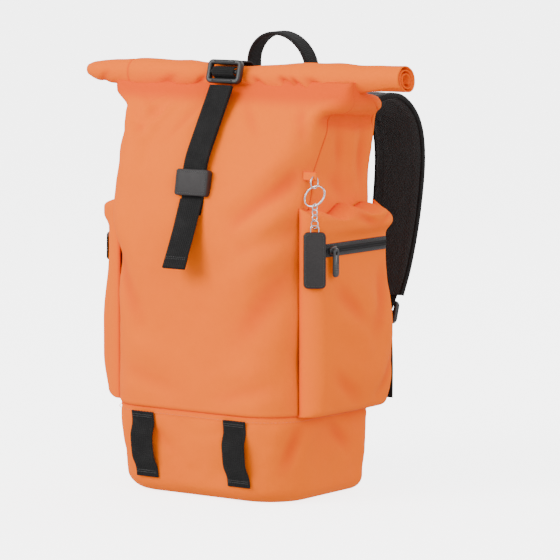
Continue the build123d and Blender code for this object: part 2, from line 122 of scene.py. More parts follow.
class Painter:
    """Builds the nodes of one material round a Principled shader."""

    def __init__(self, name: str) -> None:
        """Starts an empty material.

        Args:
            name: The material's name.
        """
        self.material = bpy.data.materials.new(name)
        self.material.use_nodes = True
        self.tree = self.material.node_tree
        self.shader = self.tree.nodes["Principled BSDF"]

    def node(self, kind: str, settings: dict | None = None, inputs: dict | None = None,
             output: int | str = 0) -> Value:
        """Adds a node.

        Args:
            kind: The node's type.
            settings: Attributes set first; "stops" holds a ramp's positions and colours.
            inputs: Socket values or links, by index or name.
            output: The output to return.

        Returns:
            The output, ready for expressions.
        """
        made = self.tree.nodes.new(kind)
        for key, setting in (settings or {}).items():
            if key == "stops":
                self._fill_ramp(made.color_ramp, setting)
            else:
                setattr(made, key, setting)
        for key, given in (inputs or {}).items():
            self._feed(made.inputs[key], given)
        return Value(self, made.outputs[output])

    @staticmethod
    def _fill_ramp(ramp: bpy.types.ColorRamp, stops: list[tuple[float, float]]) -> None:
        """Gives a ramp its grey stops."""
        for spot, (position, level) in enumerate(stops):
            element = ramp.elements[spot] if spot < len(ramp.elements) else ramp.elements.new(position)
            element.position = position
            element.color = (level, level, level, 1.0)

    def _feed(self, socket: bpy.types.NodeSocket, given: "Value | float | Colour") -> None:
        """Links a value to a socket, or sets a constant on it.

        Args:
            socket: The input socket.
            given: A value to link, or a number or colour to set.
        """
        if isinstance(given, Value):
            self.tree.links.new(given.socket, socket)
        elif isinstance(given, tuple) and socket.type == "RGBA" and len(given) == 3:
            socket.default_value = (*given, 1.0)
        else:
            socket.default_value = given

    def set(self, **inputs: "Value | float | Colour") -> None:
        """Feeds the shader's own sockets, named with underscores for spaces."""
        for key, given in inputs.items():
            self._feed(self.shader.inputs[key.replace("_", " ")], given)

    def place(self) -> Value:
        """Object coordinates, in metres."""
        return self.node("ShaderNodeTexCoord", output="Object")

    def cloth_axes(self) -> tuple[Value, Value]:
        """The two UV axes, in metres along the cloth."""
        uv = self.node("ShaderNodeUVMap", {"uv_map": "cloth"})
        split = self.node("ShaderNodeSeparateXYZ", inputs={0: uv})
        return split, Value(self, split.socket.node.outputs[1])

    def attribute(self, name: str) -> Value:
        """A number stored on the mesh."""
        return self.node("ShaderNodeAttribute", {"attribute_name": name}, output="Fac")

    def noise(self, scale: float, detail: float = 3.0, roughness: float = 0.5,
              where: Value | None = None) -> Value:
        """Soft noise from 0 to 1, over object coordinates unless told where."""
        return self.node("ShaderNodeTexNoise", inputs={
            "Vector": where or self.place(), "Scale": scale, "Detail": detail, "Roughness": roughness})

    def cells(self, scale: float, where: Value | None = None) -> Value:
        """Distance to the nearest cell centre."""
        return self.node("ShaderNodeTexVoronoi", inputs={"Vector": where or self.place(), "Scale": scale})

    def ramp(self, value: Value, *stops: tuple[float, float]) -> Value:
        """Maps a value through grey stops."""
        return self.node("ShaderNodeValToRGB", {"stops": list(stops)}, {0: value})

    def mix(self, factor: "Value | float", first: "Value | Colour", second: "Value | Colour") -> Value:
        """Blends two colours."""
        return self.node("ShaderNodeMix", {"data_type": "RGBA"}, {0: factor, 6: first, 7: second},
                         output=2)

    def bump(self, height: Value, strength: float, depth: float, under: Value | None = None) -> Value:
        """Turns a height into a normal, on top of another bump if there is one."""
        inputs: dict = {"Strength": strength, "Distance": depth, "Height": height}
        if under is not None:
            inputs["Normal"] = under
        return self.node("ShaderNodeBump", inputs=inputs)


# ---- Finishes ----
_STOCK: dict[str, bpy.types.Material] = {}


@dataclass(frozen=True)
class Finish:
    """A material that is made once and shared."""

    name: str
    colour: Colour
    roughness: float = 0.6

    def material(self) -> bpy.types.Material:
        """Returns the material, painting it the first time.

        Returns:
            The shared material.
        """
        if self.name not in _STOCK:
            painter = Painter(self.name)
            self.paint(painter)
            _STOCK[self.name] = painter.material
        return _STOCK[self.name]

    def paint(self, painter: Painter) -> None:
        """Builds the finish's nodes."""
        raise NotImplementedError


@dataclass(frozen=True)
class PlainWeave(Finish):
    """Fine plain-woven polyester with a matt coat, light wear, and painted shade that darkens its folds."""

    # deep is the dark tone of threads and slubs, and also the painted shade in folds.
    deep: Colour = (0.76, 0.042, 0.0)
    light: Colour = (1.0, 0.180, 0.0)
    thread: float = 0.00075

    def paint(self, painter: Painter) -> None:
        """Crossed threads, slubs and soft mottling drive colour, gloss and relief; the fold attribute
        darkens the colour as painted shade.

        Args:
            painter: Builds the nodes of the material.
        """
        along, across = painter.cloth_axes()
        turn = 2 * math.pi / self.thread
        threads = (along * turn).sin() * (across * turn).sin()
        slub = painter.noise(420.0, 4.0, 0.6)
        mottle = painter.noise(24.0, 4.0, 0.55)
        wash = painter.noise(7.0, 2.0, 0.5)
        fold = painter.attribute("fold")
        tone = painter.mix((mottle * 0.5 + wash * 0.5).clamp(), self.colour, self.light)
        tone = painter.mix((threads * 0.07 + slub * 0.14 - 0.02).clamp(), tone, self.deep)
        # Painted shade: the fold attribute darkens the cloth in creases, seams and hems, under the roll and
        # where the cloth tucks in.
        tone = painter.mix((fold * 0.7).clamp(), tone, self.deep)
        creases = painter.noise(60.0, 5.0, 0.62)
        relief = painter.bump(creases, 0.16, 0.0016)
        relief = painter.bump(threads + slub * 1.4, 0.30, 0.00016, relief)
        painter.set(Base_Color=tone, Roughness=(0.62 + mottle * 0.16 - threads * 0.04),
                    Normal=relief, Sheen_Weight=0.03, Sheen_Roughness=0.45,
                    Sheen_Tint=(1.0, 0.35, 0.05), Specular_IOR_Level=0.05)


@dataclass(frozen=True)
class RibbedWebbing(Finish):
    """Heavy flat webbing: crosswise ribs, lengthwise warp cords and fuzzy light edges."""

    rib: float = 0.0017
    cord: float = 0.0021

    def paint(self, painter: Painter) -> None:
        """Ribs and cords raise the surface; lint and rubbed edges lighten it.

        Args:
            painter: Builds the nodes of the material.
        """
        across, along = painter.cloth_axes()
        warp = (across * (2 * math.pi / self.cord)).sin()
        weft = (along * (2 * math.pi / self.rib) + warp * 0.9).sin()
        lint = painter.noise(900.0, 4.0, 0.7)
        wear = painter.noise(70.0, 4.0, 0.6)
        edge = painter.attribute("fold")
        tone = painter.mix((weft * 0.22 + warp * 0.12 + 0.3).clamp(), self.colour,
                           tuple(2.4 * part for part in self.colour))
        tone = painter.mix((lint.power(5.0) * 1.4 + wear.power(4.0) * 0.5 + edge * 0.12).clamp(), tone,
                           (0.060, 0.057, 0.056))
        relief = painter.bump(weft * 0.7 + warp * 0.4 + lint * 0.3, 0.75, 0.00042)
        painter.set(Base_Color=tone, Roughness=(0.60 + lint * 0.22 - weft * 0.06), Normal=relief,
                    Sheen_Weight=0.02, Sheen_Roughness=0.5, Specular_IOR_Level=0.15)


@dataclass(frozen=True)
class SpacerMesh(Finish):
    """Black three-layer mesh with open round cells over a dull base, darkened in the holes as painted
    shade.
    """

    cell: float = 0.0030

    def paint(self, painter: Painter) -> None:
        """Staggered holes sink between shiny knitted ridges and are darkened as painted shade.

        Args:
            painter: Builds the nodes of the material.
        """
        across, along = painter.cloth_axes()
        turn = 2 * math.pi / self.cell
        holes = (across * turn).sin() * (along * turn * 0.72).sin()
        knit = painter.noise(1100.0, 3.0, 0.6)
        dust = painter.noise(35.0, 4.0, 0.6)
        depth = painter.ramp(holes * 0.5 + 0.5, (0.35, 1.0), (0.72, 0.0))
        # Painted shade: the sunken holes go near-black, and the raised knit keeps the mesh colour.
        tone = painter.mix((depth * 0.8 + dust * 0.2).clamp(), (0.006, 0.006, 0.006), self.colour)
        tone = painter.mix((knit.power(4.0) * 0.9).clamp(), tone, (0.07, 0.07, 0.07))
        relief = painter.bump(depth + knit * 0.25, 0.8, 0.0007)
        painter.set(Base_Color=tone, Roughness=(0.66 + dust * 0.16), Normal=relief, Sheen_Weight=0.14,
                    Sheen_Roughness=0.5, Specular_IOR_Level=0.35)


@dataclass(frozen=True)
class ZipWeave(Finish):
    """Herringbone zip tape with coarse ribs beside the coil."""

    rib: float = 0.0014

    def paint(self, painter: Painter) -> None:
        """Slanted ribs that change sides make the herringbone.

        Args:
            painter: Builds the nodes of the material.
        """
        across, along = painter.cloth_axes()
        turn = 2 * math.pi / self.rib
        slant = (along * turn + (across * turn * 0.8).sin() * 1.6).sin()
        lint = painter.noise(700.0, 3.0, 0.6)
        tone = painter.mix((slant * 0.3 + 0.3 + lint * 0.2).clamp(), self.colour,
                           tuple(3.5 * part for part in self.colour))
        relief = painter.bump(slant + lint * 0.4, 0.6, 0.0003)
        painter.set(Base_Color=tone, Roughness=(0.58 + lint * 0.2), Normal=relief, Sheen_Weight=0.1,
                    Specular_IOR_Level=0.4)


@dataclass(frozen=True)
class Moulded(Finish):
    """Satin moulded plastic or lacquered metal with a fine spark texture and rubbed patches."""

    grain: float = 2600.0
    metal: float = 0.0
    coat: float = 0.15

    def paint(self, painter: Painter) -> None:
        """Fine grain, faint scratches and fingered patches.

        Args:
            painter: Builds the nodes of the material.
        """
        grain = painter.noise(self.grain, 2.0, 0.5)
        patches = painter.noise(90.0, 4.0, 0.6)
        scratch = painter.node("ShaderNodeTexWave", {"wave_type": "BANDS", "bands_direction": "DIAGONAL"},
                {"Vector": painter.place(), "Scale": 260.0, "Distortion": 14.0,
                "Detail": 4.0}, output="Fac")
        tone = painter.mix((patches * 0.7 + scratch.power(12.0) * 0.5).clamp(), self.colour,
                           tuple(min(1.0, 1.9 * part + 0.008) for part in self.colour))
        relief = painter.bump(grain + patches * 0.5, 0.18, 0.00015)
        painter.set(Base_Color=tone, Roughness=(self.roughness + patches * 0.16 + grain * 0.05),
                    Normal=relief, Metallic=self.metal, Coat_Weight=self.coat, Coat_Roughness=0.3)


@dataclass(frozen=True)
class Hide(Finish):
    """Matt charcoal leather: pebbled grain, fine pores and a slightly burnished surface."""

    def paint(self, painter: Painter) -> None:
        """Cells of two sizes raise the grain, and their valleys are darker.

        Args:
            painter: Builds the nodes of the material.
        """
        pebbles = painter.cells(900.0)
        pores = painter.cells(2600.0)
        haze = painter.noise(120.0, 4.0, 0.55)
        tone = painter.mix((pebbles * 0.9 + haze * 0.3).clamp(),
                           tuple(1.35 * part for part in self.colour),
                           tuple(0.7 * part for part in self.colour))
        relief = painter.bump(1.0 - pebbles, 0.45, 0.0004)
        relief = painter.bump(1.0 - pores, 0.2, 0.00012, relief)
        painter.set(Base_Color=tone, Roughness=(self.roughness + haze * 0.2 - pebbles * 0.08),
                    Normal=relief, Specular_IOR_Level=0.42)


@dataclass(frozen=True)
class PlatedWire(Finish):
    """Bright nickel-plated wire with drawing lines and dull smudges."""

    def paint(self, painter: Painter) -> None:
        """Smudges roughen the plate.

        Args:
            painter: Builds the nodes of the material.
        """
        smudge = painter.noise(420.0, 5.0, 0.65)
        drawn = painter.noise(3000.0, 2.0, 0.5)
        tone = painter.mix(smudge, self.colour, tuple(0.62 * part for part in self.colour))
        relief = painter.bump(drawn, 0.12, 0.00008)
        painter.set(Base_Color=tone, Metallic=1.0, Roughness=(self.roughness + smudge * 0.22),
                    Normal=relief)


@dataclass(frozen=True)
class SpunThread(Finish):
    """Bonded sewing thread with a visible twist."""

    def paint(self, painter: Painter) -> None:
        """A slanted wave twists the plies.

        Args:
            painter: Builds the nodes of the material.
        """
        twist = painter.node("ShaderNodeTexWave", {"wave_type": "BANDS", "bands_direction": "DIAGONAL"},
                {"Vector": painter.place(), "Scale": 900.0, "Distortion": 1.0}, output="Fac")
        fuzz = painter.noise(2400.0, 2.0, 0.6)
        tone = painter.mix((twist * 0.5 + fuzz * 0.3).clamp(), self.colour,
                           tuple(min(1.0, 1.7 * part + 0.01) for part in self.colour))
        relief = painter.bump(twist + fuzz, 0.5, 0.0001)
        painter.set(Base_Color=tone, Roughness=(self.roughness + fuzz * 0.1), Normal=relief,
                    Sheen_Weight=0.2)


ORANGE = PlainWeave("orange_weave", (1.0, 0.142, 0.0))
WEBBING = RibbedWebbing("black_webbing", (0.0026, 0.0024, 0.0024))
MESH = SpacerMesh("black_spacer_mesh", (0.010, 0.010, 0.0105))
TAPE = ZipWeave("black_zip_tape", (0.009, 0.009, 0.0095))
PLASTIC = Moulded("black_acetal", (0.0035, 0.0035, 0.0038), 0.42)
LACQUER = Moulded("black_lacquer", (0.02, 0.02, 0.021), 0.3, metal=0.55, coat=0.4)
LEATHER = Hide("charcoal_leather", (0.018, 0.0145, 0.0145), 0.56)
WIRE = PlatedWire("nickel_wire", (0.78, 0.78, 0.8), 0.14)
ORANGE_THREAD = SpunThread("orange_thread", (0.80, 0.11, 0.008), 0.55)
BLACK_THREAD = SpunThread("black_thread", (0.02, 0.02, 0.02), 0.5)


# ---- Meshes ----
@dataclass
class Skin:
    """Points, faces, cloth coordinates and fold depth of a mesh in the making; the orange cloth darkens
    with the fold depth as painted shade, and the webbing lightens with it as rubbed edges.
    """

    points: np.ndarray
    faces: list[tuple[int, ...]]
    cloth: np.ndarray
    fold: np.ndarray

    def joined(self, other: "Skin") -> "Skin":
        """Returns both skins as one."""
        shift = len(self.points)
        faces = self.faces + [tuple(i + shift for i in face) for face in other.faces]
        return Skin(np.vstack([self.points, other.points]), faces, np.vstack([self.cloth, other.cloth]),
                    np.concatenate([self.fold, other.fold]))

    def mirrored(self) -> "Skin":
        """Returns the skin on the other side of X = 0, still facing outwards."""
        return Skin(self.points * np.array([-1.0, 1.0, 1.0]), [tuple(reversed(f)) for f in self.faces],
                    self.cloth.copy(), self.fold.copy())

    def build(self, name: str, finish: Finish, outward: bool = False) -> bpy.types.Object:
        """Makes the Blender object.

        Args:
            name: The piece's name.
            finish: Its finish.
            outward: Recalculates the normals, for closed forms only.

        Returns:
            The object, at the origin.
        """
        mesh = bpy.data.meshes.new(name)
        mesh.from_pydata(self.points.tolist(), [], self.faces)
        layer = mesh.uv_layers.new(name="cloth")
        corners = np.empty(len(mesh.loops), dtype=np.int32)
        mesh.loops.foreach_get("vertex_index", corners)
        layer.data.foreach_set("uv", self.cloth[corners].astype(np.float32).ravel())
        mesh.attributes.new("fold", "FLOAT", "POINT").data.foreach_set("value",
                self.fold.astype(np.float32))
        if outward:
            face_outward(mesh)
        mesh.shade_smooth()
        made = bpy.data.objects.new(name, mesh)
        bpy.context.scene.collection.objects.link(made)
        mesh.materials.append(finish.material())
        return made


def face_outward(mesh: bpy.types.Mesh) -> None:
    """Turns the faces of a closed mesh outwards, after merging its doubles.

    Args:
        mesh: A closed mesh.
    """
    work = bmesh.new()
    work.from_mesh(mesh)
    bmesh.ops.remove_doubles(work, verts=work.verts, dist=1e-6)
    bmesh.ops.recalc_face_normals(work, faces=work.faces)
    work.to_mesh(mesh)
    work.free()


def grid_faces(rows: int, columns: int, wrap: bool = False, shift: int = 0) -> list[tuple[int, ...]]:
    """Quads of a grid stored row by row; wrap joins the last column to the first."""
    span = columns if wrap else columns - 1
    return [(shift + r * columns + c, shift + r * columns + (c + 1) % columns,
             shift + (r + 1) * columns + (c + 1) % columns, shift + (r + 1) * columns + c)
            for r in range(rows - 1) for c in range(span)]


def resample(path: np.ndarray, count: int) -> np.ndarray:
    """Returns count points evenly spaced along a polyline."""
    run = np.concatenate([[0.0], np.cumsum(np.linalg.norm(np.diff(path, axis=0), axis=1))])
    wanted = np.linspace(0.0, run[-1], count)
    return np.stack([np.interp(wanted, run, path[:, k]) for k in range(path.shape[1])], axis=1)


def eased(points: list[tuple[float, ...]], radius: float, step: float) -> np.ndarray:
    """Rounds a polyline's corners and spaces its points evenly.

    Args:
        points: The corners, in metres.
        radius: How far from a corner its round begins.
        step: Space between points.

    Returns:
        Points along the path.
    """
    knots = [np.array(p, float) for p in points]
    path = [knots[0]]
    for before, here, after in zip(knots, knots[1:], knots[2:]):
        cut = min(radius, 0.48 * np.linalg.norm(here - before), 0.48 * np.linalg.norm(after - here))
        start = here + (before - here) / np.linalg.norm(before - here) * cut
        end = here + (after - here) / np.linalg.norm(after - here) * cut
        for t in np.linspace(0.0, 1.0, 9):
            path.append((1 - t) ** 2 * start + 2 * t * (1 - t) * here + t * t * end)
    path.append(knots[-1])
    line = np.array(path)
    length = float(np.linalg.norm(np.diff(line, axis=0), axis=1).sum())
    return resample(line, max(4, int(length / step) + 1))


def spline(points: np.ndarray, count: int) -> np.ndarray:
    """Returns a smooth curve through rows of numbers, with count samples.

    Args:
        points: Rows of numbers, any count of columns.
        count: How many samples to return.

    Returns:
        The samples, one row each.
    """
    ends = np.vstack([2 * points[0] - points[1], points, 2 * points[-1] - points[-2]])
    spans = len(points) - 1
    out = []
    for value in np.linspace(0.0, spans, count):
        k = min(int(value), spans - 1)
        t = value - k
        a, b, c, d = ends[k:k + 4]
        out.append(0.5 * (2 * b + (c - a) * t + (2 * a - 5 * b + 4 * c - d) * t * t
                          + (3 * b - a - 3 * c + d) * t ** 3))
    return np.array(out)


def sweep(path: np.ndarray, side: np.ndarray, sections: np.ndarray, closed: bool = False) -> Skin:
    """Carries a closed section along a path.

    Args:
        path: The centre line.
        side: The width direction, one vector or one for each point.
        sections: The outline across and through the band, one or one for each point.
        closed: Joins the path's end to its start.

    Returns:
        The skin, with ends closed.
    """
    count = len(path)
    if closed:
        tangent = np.roll(path, -1, axis=0) - np.roll(path, 1, axis=0)
    else:
        tangent = np.gradient(path, axis=0)
    tangent /= np.linalg.norm(tangent, axis=1)[:, None]
    across = np.broadcast_to(side, path.shape).astype(float)
    across = across - (across * tangent).sum(axis=1)[:, None] * tangent
    across /= np.linalg.norm(across, axis=1)[:, None]
    through = np.cross(tangent, across)
    shape = np.broadcast_to(sections, (count,) + np.shape(sections)[-2:])
    ring = shape.shape[1]
    points = (path[:, None] + shape[..., :1] * across[:, None] + shape[..., 1:] * through[:, None])
    run = np.concatenate([[0.0], np.cumsum(np.linalg.norm(np.diff(path, axis=0), axis=1))])
    cloth = np.stack([shape[..., 0], np.broadcast_to(run[:, None], (count, ring))], axis=-1)
    reach = np.abs(shape[..., 0]).max(axis=1)[:, None]
    # Marks the band's outer edges: webbing lightens there as rubbed wear, while the orange key tab darkens
    # there as painted shade.
    fold = np.clip((np.abs(shape[..., 0]) - reach + 0.0012) / 0.0012, 0.0, 1.0)
    faces = grid_faces(count, ring, wrap=True)
    if closed:
        faces += [((count - 1) * ring + c, (count - 1) * ring + (c + 1) % ring, (c + 1) % ring, c)
                  for c in range(ring)]
    else:
        faces += [tuple(range(ring)), tuple((count - 1) * ring + c for c in reversed(range(ring)))]
    return Skin(points.reshape(-1, 3), faces, cloth.reshape(-1, 2), fold.ravel())


def band_section(width: float, thickness: float, across: int = 11) -> np.ndarray:
    """Outline of flat webbing with soft edges.

    Args:
        width: Across the webbing.
        thickness: Through it.
        across: Samples over the width.

    Returns:
        Points of the section, about the origin.
    """
    half, edge = width / 2, thickness / 2
    flat = np.linspace(-(half - edge), half - edge, across)
    turn = np.linspace(math.pi / 2, -math.pi / 2, 6)[1:-1]
    top = np.stack([flat, np.full(across, edge)], axis=1)
    right = np.stack([half - edge + edge * np.cos(turn), edge * np.sin(turn)], axis=1)
    return np.vstack([top, right, -top, -right])


def round_section(across: float, through: float, count: int = 16, power: float = 1.0) -> np.ndarray:
    """Ellipse, or with a power below 1 a rounded rectangle, as an outline."""
    angle = np.linspace(0, 2 * math.pi, count, endpoint=False)
    c, s = np.cos(angle), np.sin(angle)
    return np.stack([across * np.sign(c) * np.abs(c) ** power, through * np.sign(s) * np.abs(s) ** power],
                    axis=1)


def rounded_loop(width: float, height: float, radius: float, each: int = 8) -> np.ndarray:
    """Rounded rectangle about the origin, as a closed run of points.

    Args:
        width: Along the first axis.
        height: Along the second.
        radius: Corner radius.
        each: Samples in a corner.

    Returns:
        Points of the closed run.
    """
    corners = []
    for turn, (sx, sy) in enumerate(((1, 1), (-1, 1), (-1, -1), (1, -1))):
        for angle in np.linspace(turn * math.pi / 2, (turn + 1) * math.pi / 2, each):
            corners.append((sx * (width / 2 - radius) + radius * math.cos(angle),
                            sy * (height / 2 - radius) + radius * math.sin(angle)))
    return np.array(corners)


def ripple(points: np.ndarray, size: float, seed: float, octaves: int = 2) -> np.ndarray:
    """Smooth noise about zero at each point, with features of the given size in metres."""
    return np.array([noise.fractal(Vector(p) / size + Vector((seed, seed * 1.7, seed * 0.6)), 0.7, 2.0,
            octaves)
                     for p in points.reshape(-1, 3)]).reshape(points.shape[:-1])


def bump_at(value: np.ndarray | float, centre: float, width: float) -> np.ndarray:
    """Bell curve."""
    return np.exp(-((value - centre) / width) ** 2)


def ease(value: np.ndarray | float) -> np.ndarray:
    """Smooth step from 0 to 1."""
    t = np.clip(value, 0.0, 1.0)
    return t * t * (3 - 2 * t)


def fit_piece(made: bpy.types.Object, body: str, slot: str, *nodes: str) -> bpy.types.Object:
    """Attaches a piece to its body and hides the solids that it stands for.

    Args:
        made: The finished piece.
        body: The body that it rides on.
        slot: Not used.
        nodes: The solids that it stands for.

    Returns:
        The same piece.
    """
    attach(made, body)
    if nodes:
        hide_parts(*nodes)
    LOG.info("%s: %d faces on %s", made.name, len(made.data.polygons), body)
    return made


def walled(made: bpy.types.Object, thickness: float) -> None:
    """Gives an open sheet its thickness, inwards."""
    wall = made.modifiers.new("wall", "SOLIDIFY")
    wall.thickness = thickness
    wall.offset = -1.0


# ---- The bag's body ----
@dataclass(frozen=True)
class Crease:
    """A soft fold in the cloth between two points, in metres."""

    start: tuple[float, float, float]
    end: tuple[float, float, float]
    width: float
    depth: float

    def press(self, points: np.ndarray) -> np.ndarray:
        """Returns how far each point sinks, with a low ridge beside the fold.

        Args:
            points: Points on the cloth.

        Returns:
            Depth at each point, in metres.
        """
        a, b = np.array(self.start), np.array(self.end)
        along = np.clip(((points - a) @ (b - a)) / ((b - a) @ (b - a)), 0.0, 1.0)
        gap = np.linalg.norm(points - (a + along[..., None] * (b - a)), axis=-1)
        fade = np.sin(math.pi * np.clip(along * 0.8 + 0.1, 0.0, 1.0))
        return self.depth * fade * (bump_at(gap, 0.0, self.width) - 0.55 * bump_at(gap, 2.1 * self.width,
            self.width))


@dataclass
class BagBody:
    """Front, back and side panels from the lower section's seam up into the roll."""

    half_width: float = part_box("base_bucket")[1].x
    front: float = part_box("base_bucket")[0].y
    back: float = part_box("base_bucket")[1].y
    seam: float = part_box("base_bucket")[1].z
    mouth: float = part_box("front_panel")[1].z
    spread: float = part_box("front_panel")[1].x
    step: float = 0.0022
    wall: float = 0.0014
    slouch: float = 0.0090
    creases: tuple[Crease, ...] = (
        Crease((0.100, -0.045, 0.300), (0.046, -0.076, 0.246), 0.010, 0.0048),
        Crease((0.100, -0.050, 0.252), (0.050, -0.080, 0.224), 0.009, 0.0034),
        Crease((0.096, -0.056, 0.215), (0.056, -0.080, 0.150), 0.014, 0.0030),
        Crease((-0.098, -0.052, 0.240), (-0.056, -0.079, 0.160), 0.012, 0.0030),
        Crease((-0.100, -0.040, 0.362), (-0.078, -0.050, 0.332), 0.006, 0.0072),
        Crease((-0.056, -0.030, 0.364), (-0.078, -0.050, 0.334), 0.005, 0.0060),
        Crease((-0.112, -0.020, 0.360), (-0.100, -0.030, 0.325), 0.006, 0.0026),
        Crease((0.020, -0.026, 0.366), (0.052, -0.046, 0.330), 0.005, 0.0018),
        Crease((-0.018, -0.026, 0.366), (-0.046, -0.050, 0.325), 0.005, 0.0016),
        Crease((0.086, -0.030, 0.362), (0.100, -0.040, 0.322), 0.006, 0.0022),
        Crease((-0.080, -0.082, 0.120), (-0.020, -0.082, 0.100), 0.010, 0.0014),
        Crease((0.088, -0.070, 0.110), (0.030, -0.082, 0.092), 0.009, 0.0016),
        Crease((0.104, 0.002, 0.345), (0.104, 0.012, 0.285), 0.009, 0.0024),
        Crease((0.104, 0.040, 0.340), (0.103, 0.046, 0.280), 0.008, 0.0026),
        Crease((0.104, -0.020, 0.300), (0.103, 0.020, 0.275), 0.008, 0.0016),
        Crease((-0.104, 0.006, 0.342), (-0.104, 0.012, 0.280), 0.009, 0.0024),
        Crease((-0.104, 0.044, 0.338), (-0.103, 0.046, 0.280), 0.008, 0.0026),
        Crease((-0.050, 0.062, 0.350), (-0.075, 0.070, 0.315), 0.008, 0.0022),
        Crease((0.050, 0.062, 0.350), (0.075, 0.070, 0.315), 0.008, 0.0022),
        Crease((-0.085, 0.070, 0.200), (-0.070, 0.070, 0.120), 0.010, 0.0016),
        Crease((0.085, 0.070, 0.220), (0.070, 0.070, 0.140), 0.010, 0.0016))

    def levels(self) -> np.ndarray:
        """Rows of height, half width, front, back, corner radii and upright seams, in metres.

        Returns:
            One row for each height.
        """
        f, b, w, top = self.front, self.back, self.half_width, self.mouth
        rows = [(self.seam, w, f, b, 0.046, 0.020, f + 0.034, b - 0.012),
                (0.230, w, f + 0.003, b, 0.046, 0.020, f + 0.037, b - 0.012),
                (0.290, w, f + 0.014, b, 0.042, 0.020, f + 0.050, b - 0.012),
                (0.330, w + 0.006, f + 0.034, b, 0.030, 0.020, f + 0.062, b - 0.012),
                (0.352, w + 0.017, f + 0.049, b - 0.012, 0.020, 0.018, f + 0.067, b - 0.027),
                (top - 0.004, self.spread - 0.008, f + 0.058, b - 0.046, 0.010, 0.012, f + 0.069,
                 b - 0.056),
                (top + 0.012, self.spread - 0.006, f + 0.066, b - 0.073, 0.003, 0.003, f + 0.069,
                 b - 0.075)]
        return np.array(rows)

    def level(self, height: float) -> np.ndarray:
        """Interpolates the rows at a height without overshoot.

        Args:
            height: The height wanted.

        Returns:
            The row at that height.
        """
        rows = self.levels()
        z = rows[:, 0]
        k = int(np.clip(np.searchsorted(z, height) - 1, 0, len(z) - 2))
        gaps = np.diff(z)
        slopes = np.diff(rows, axis=0) / gaps[:, None]

        def tangent(i: int) -> np.ndarray:
            """Limited slope at a row.

            Args:
                i: The row.

            Returns:
                Its slope, for each column.
            """
            if i == 0 or i == len(z) - 1:
                return slopes[min(i, len(slopes) - 1)]
            a, b = slopes[i - 1], slopes[i]
            same = a * b > 0
            return np.where(same, 2 * a * b / np.where(same, a + b, 1.0), 0.0)

        h = gaps[k]
        t = (height - z[k]) / h
        return ((2 * t ** 3 - 3 * t ** 2 + 1) * rows[k] + (t ** 3 - 2 * t ** 2 + t) * h * tangent(k)
                + (3 * t ** 2 - 2 * t ** 3) * rows[k + 1] + (t ** 3 - t ** 2) * h * tangent(k + 1))

    @staticmethod
    def half_outline(row: np.ndarray) -> np.ndarray:
        """Right half of the plan outline, from the front's middle to the back's.

        Args:
            row: A row of sizes.

        Returns:
            Points of the outline, as X and Y.
        """
        _, w, f, b, cf, cb, _, _ = row
        path = [(0.0, f)]
        for angle in np.linspace(-math.pi / 2, 0.0, 25):
            path.append((w - cf + cf * math.cos(angle), f + cf + cf * math.sin(angle)))
        for angle in np.linspace(0.0, math.pi / 2, 17):
            path.append((w - cb + cb * math.cos(angle), b - cb + cb * math.sin(angle)))
        path.append((0.0, b))
        return np.array(path)

    @staticmethod
    def spread_over(length: float, step: float, end: bool, start: bool) -> np.ndarray:
        """Shares of a panel's length, closer together at its seams.

        Args:
            length: Length of the panel.
            step: Usual spacing.
            end: Whether it ends at a seam.
            start: Whether it starts at one.

        Returns:
            Shares from 0 to 1.
        """
        near = np.array([0.0, 0.0007, 0.0016, 0.003]) / length
        middle = np.linspace(0.003 / length if start else 0.0, 1 - (0.003 / length if end else 0.0),
                int(length / step))
        parts = ([near[:-1]] if start else []) + [middle] + ([1 - near[:-1][::-1]] if end else [])
        return np.concatenate(parts)

    def half_ring(self, row: np.ndarray) -> np.ndarray:
        """Columns of the right half, cut at the two upright seams.

        Args:
            row: A row of sizes.

        Returns:
            X, Y and run along the cloth, for each column.
        """
        path = self.half_outline(row)
        run = np.concatenate([[0.0], np.cumsum(np.linalg.norm(np.diff(path, axis=0), axis=1))])
        first, second = (float(np.interp(seam, path[1:-1, 1], run[1:-1])) for seam in (row[6], row[7]))
        wanted = np.concatenate([self.parts[0] * first, first + self.parts[1][1:] * (second - first),
                second + self.parts[2][1:] * (run[-1] - second)])
        return np.stack([np.interp(wanted, run, path[:, 0]), np.interp(wanted, run, path[:, 1]), wanted],
                        axis=1)

    def __post_init__(self) -> None:
        """Fixes the columns, which every height and the lower section share."""
        self.parts = [self.spread_over(0.122, self.step, True, False),
                      self.spread_over(0.104, self.step, True, True),
                      self.spread_over(0.110, self.step, False, True)]
        a, b, c = (len(p) for p in self.parts)
        self.front_seam, self.back_seam, self.half = a - 1, a + b - 2, a + b + c - 2

    def ring(self, row: np.ndarray) -> np.ndarray:
        """Whole ring of columns as X, Y and run along the cloth, going round by the right side."""
        right = self.half_ring(row)
        left = right[-2:0:-1] * np.array([-1.0, 1.0, -1.0])
        return np.vstack([right, left])

    def grid(self, heights: np.ndarray) -> tuple[np.ndarray, np.ndarray]:
        """Points and cloth coordinates of rings at heights."""
        rings = np.array([self.ring(self.level(z)) for z in heights])
        tall = np.broadcast_to(heights[:, None], rings.shape[:2])
        return (np.stack([rings[..., 0], rings[..., 1], tall], axis=-1),
                np.stack([rings[..., 2], tall], axis=-1))

    @staticmethod
    def normals(grid: np.ndarray) -> np.ndarray:
        """Outward normals of a ring grid."""
        round_ = np.roll(grid, -1, axis=1) - np.roll(grid, 1, axis=1)
        up = np.gradient(grid, axis=0)
        out = np.cross(round_, up)
        return out / (np.linalg.norm(out, axis=-1)[..., None] + 1e-12)

    def seam_groove(self, count: int) -> np.ndarray:
        """Depth of the upright seams for each column, from 0 to 1.

        Args:
            count: Columns in the ring.

        Returns:
            Depth for each column.
        """
        groove = np.zeros(count)
        for column in (self.front_seam, self.back_seam):
            for at in (column, count - column):
                groove[at % count] = 1.0
                groove[(at - 1) % count] = groove[(at + 1) % count] = 0.55
        return groove

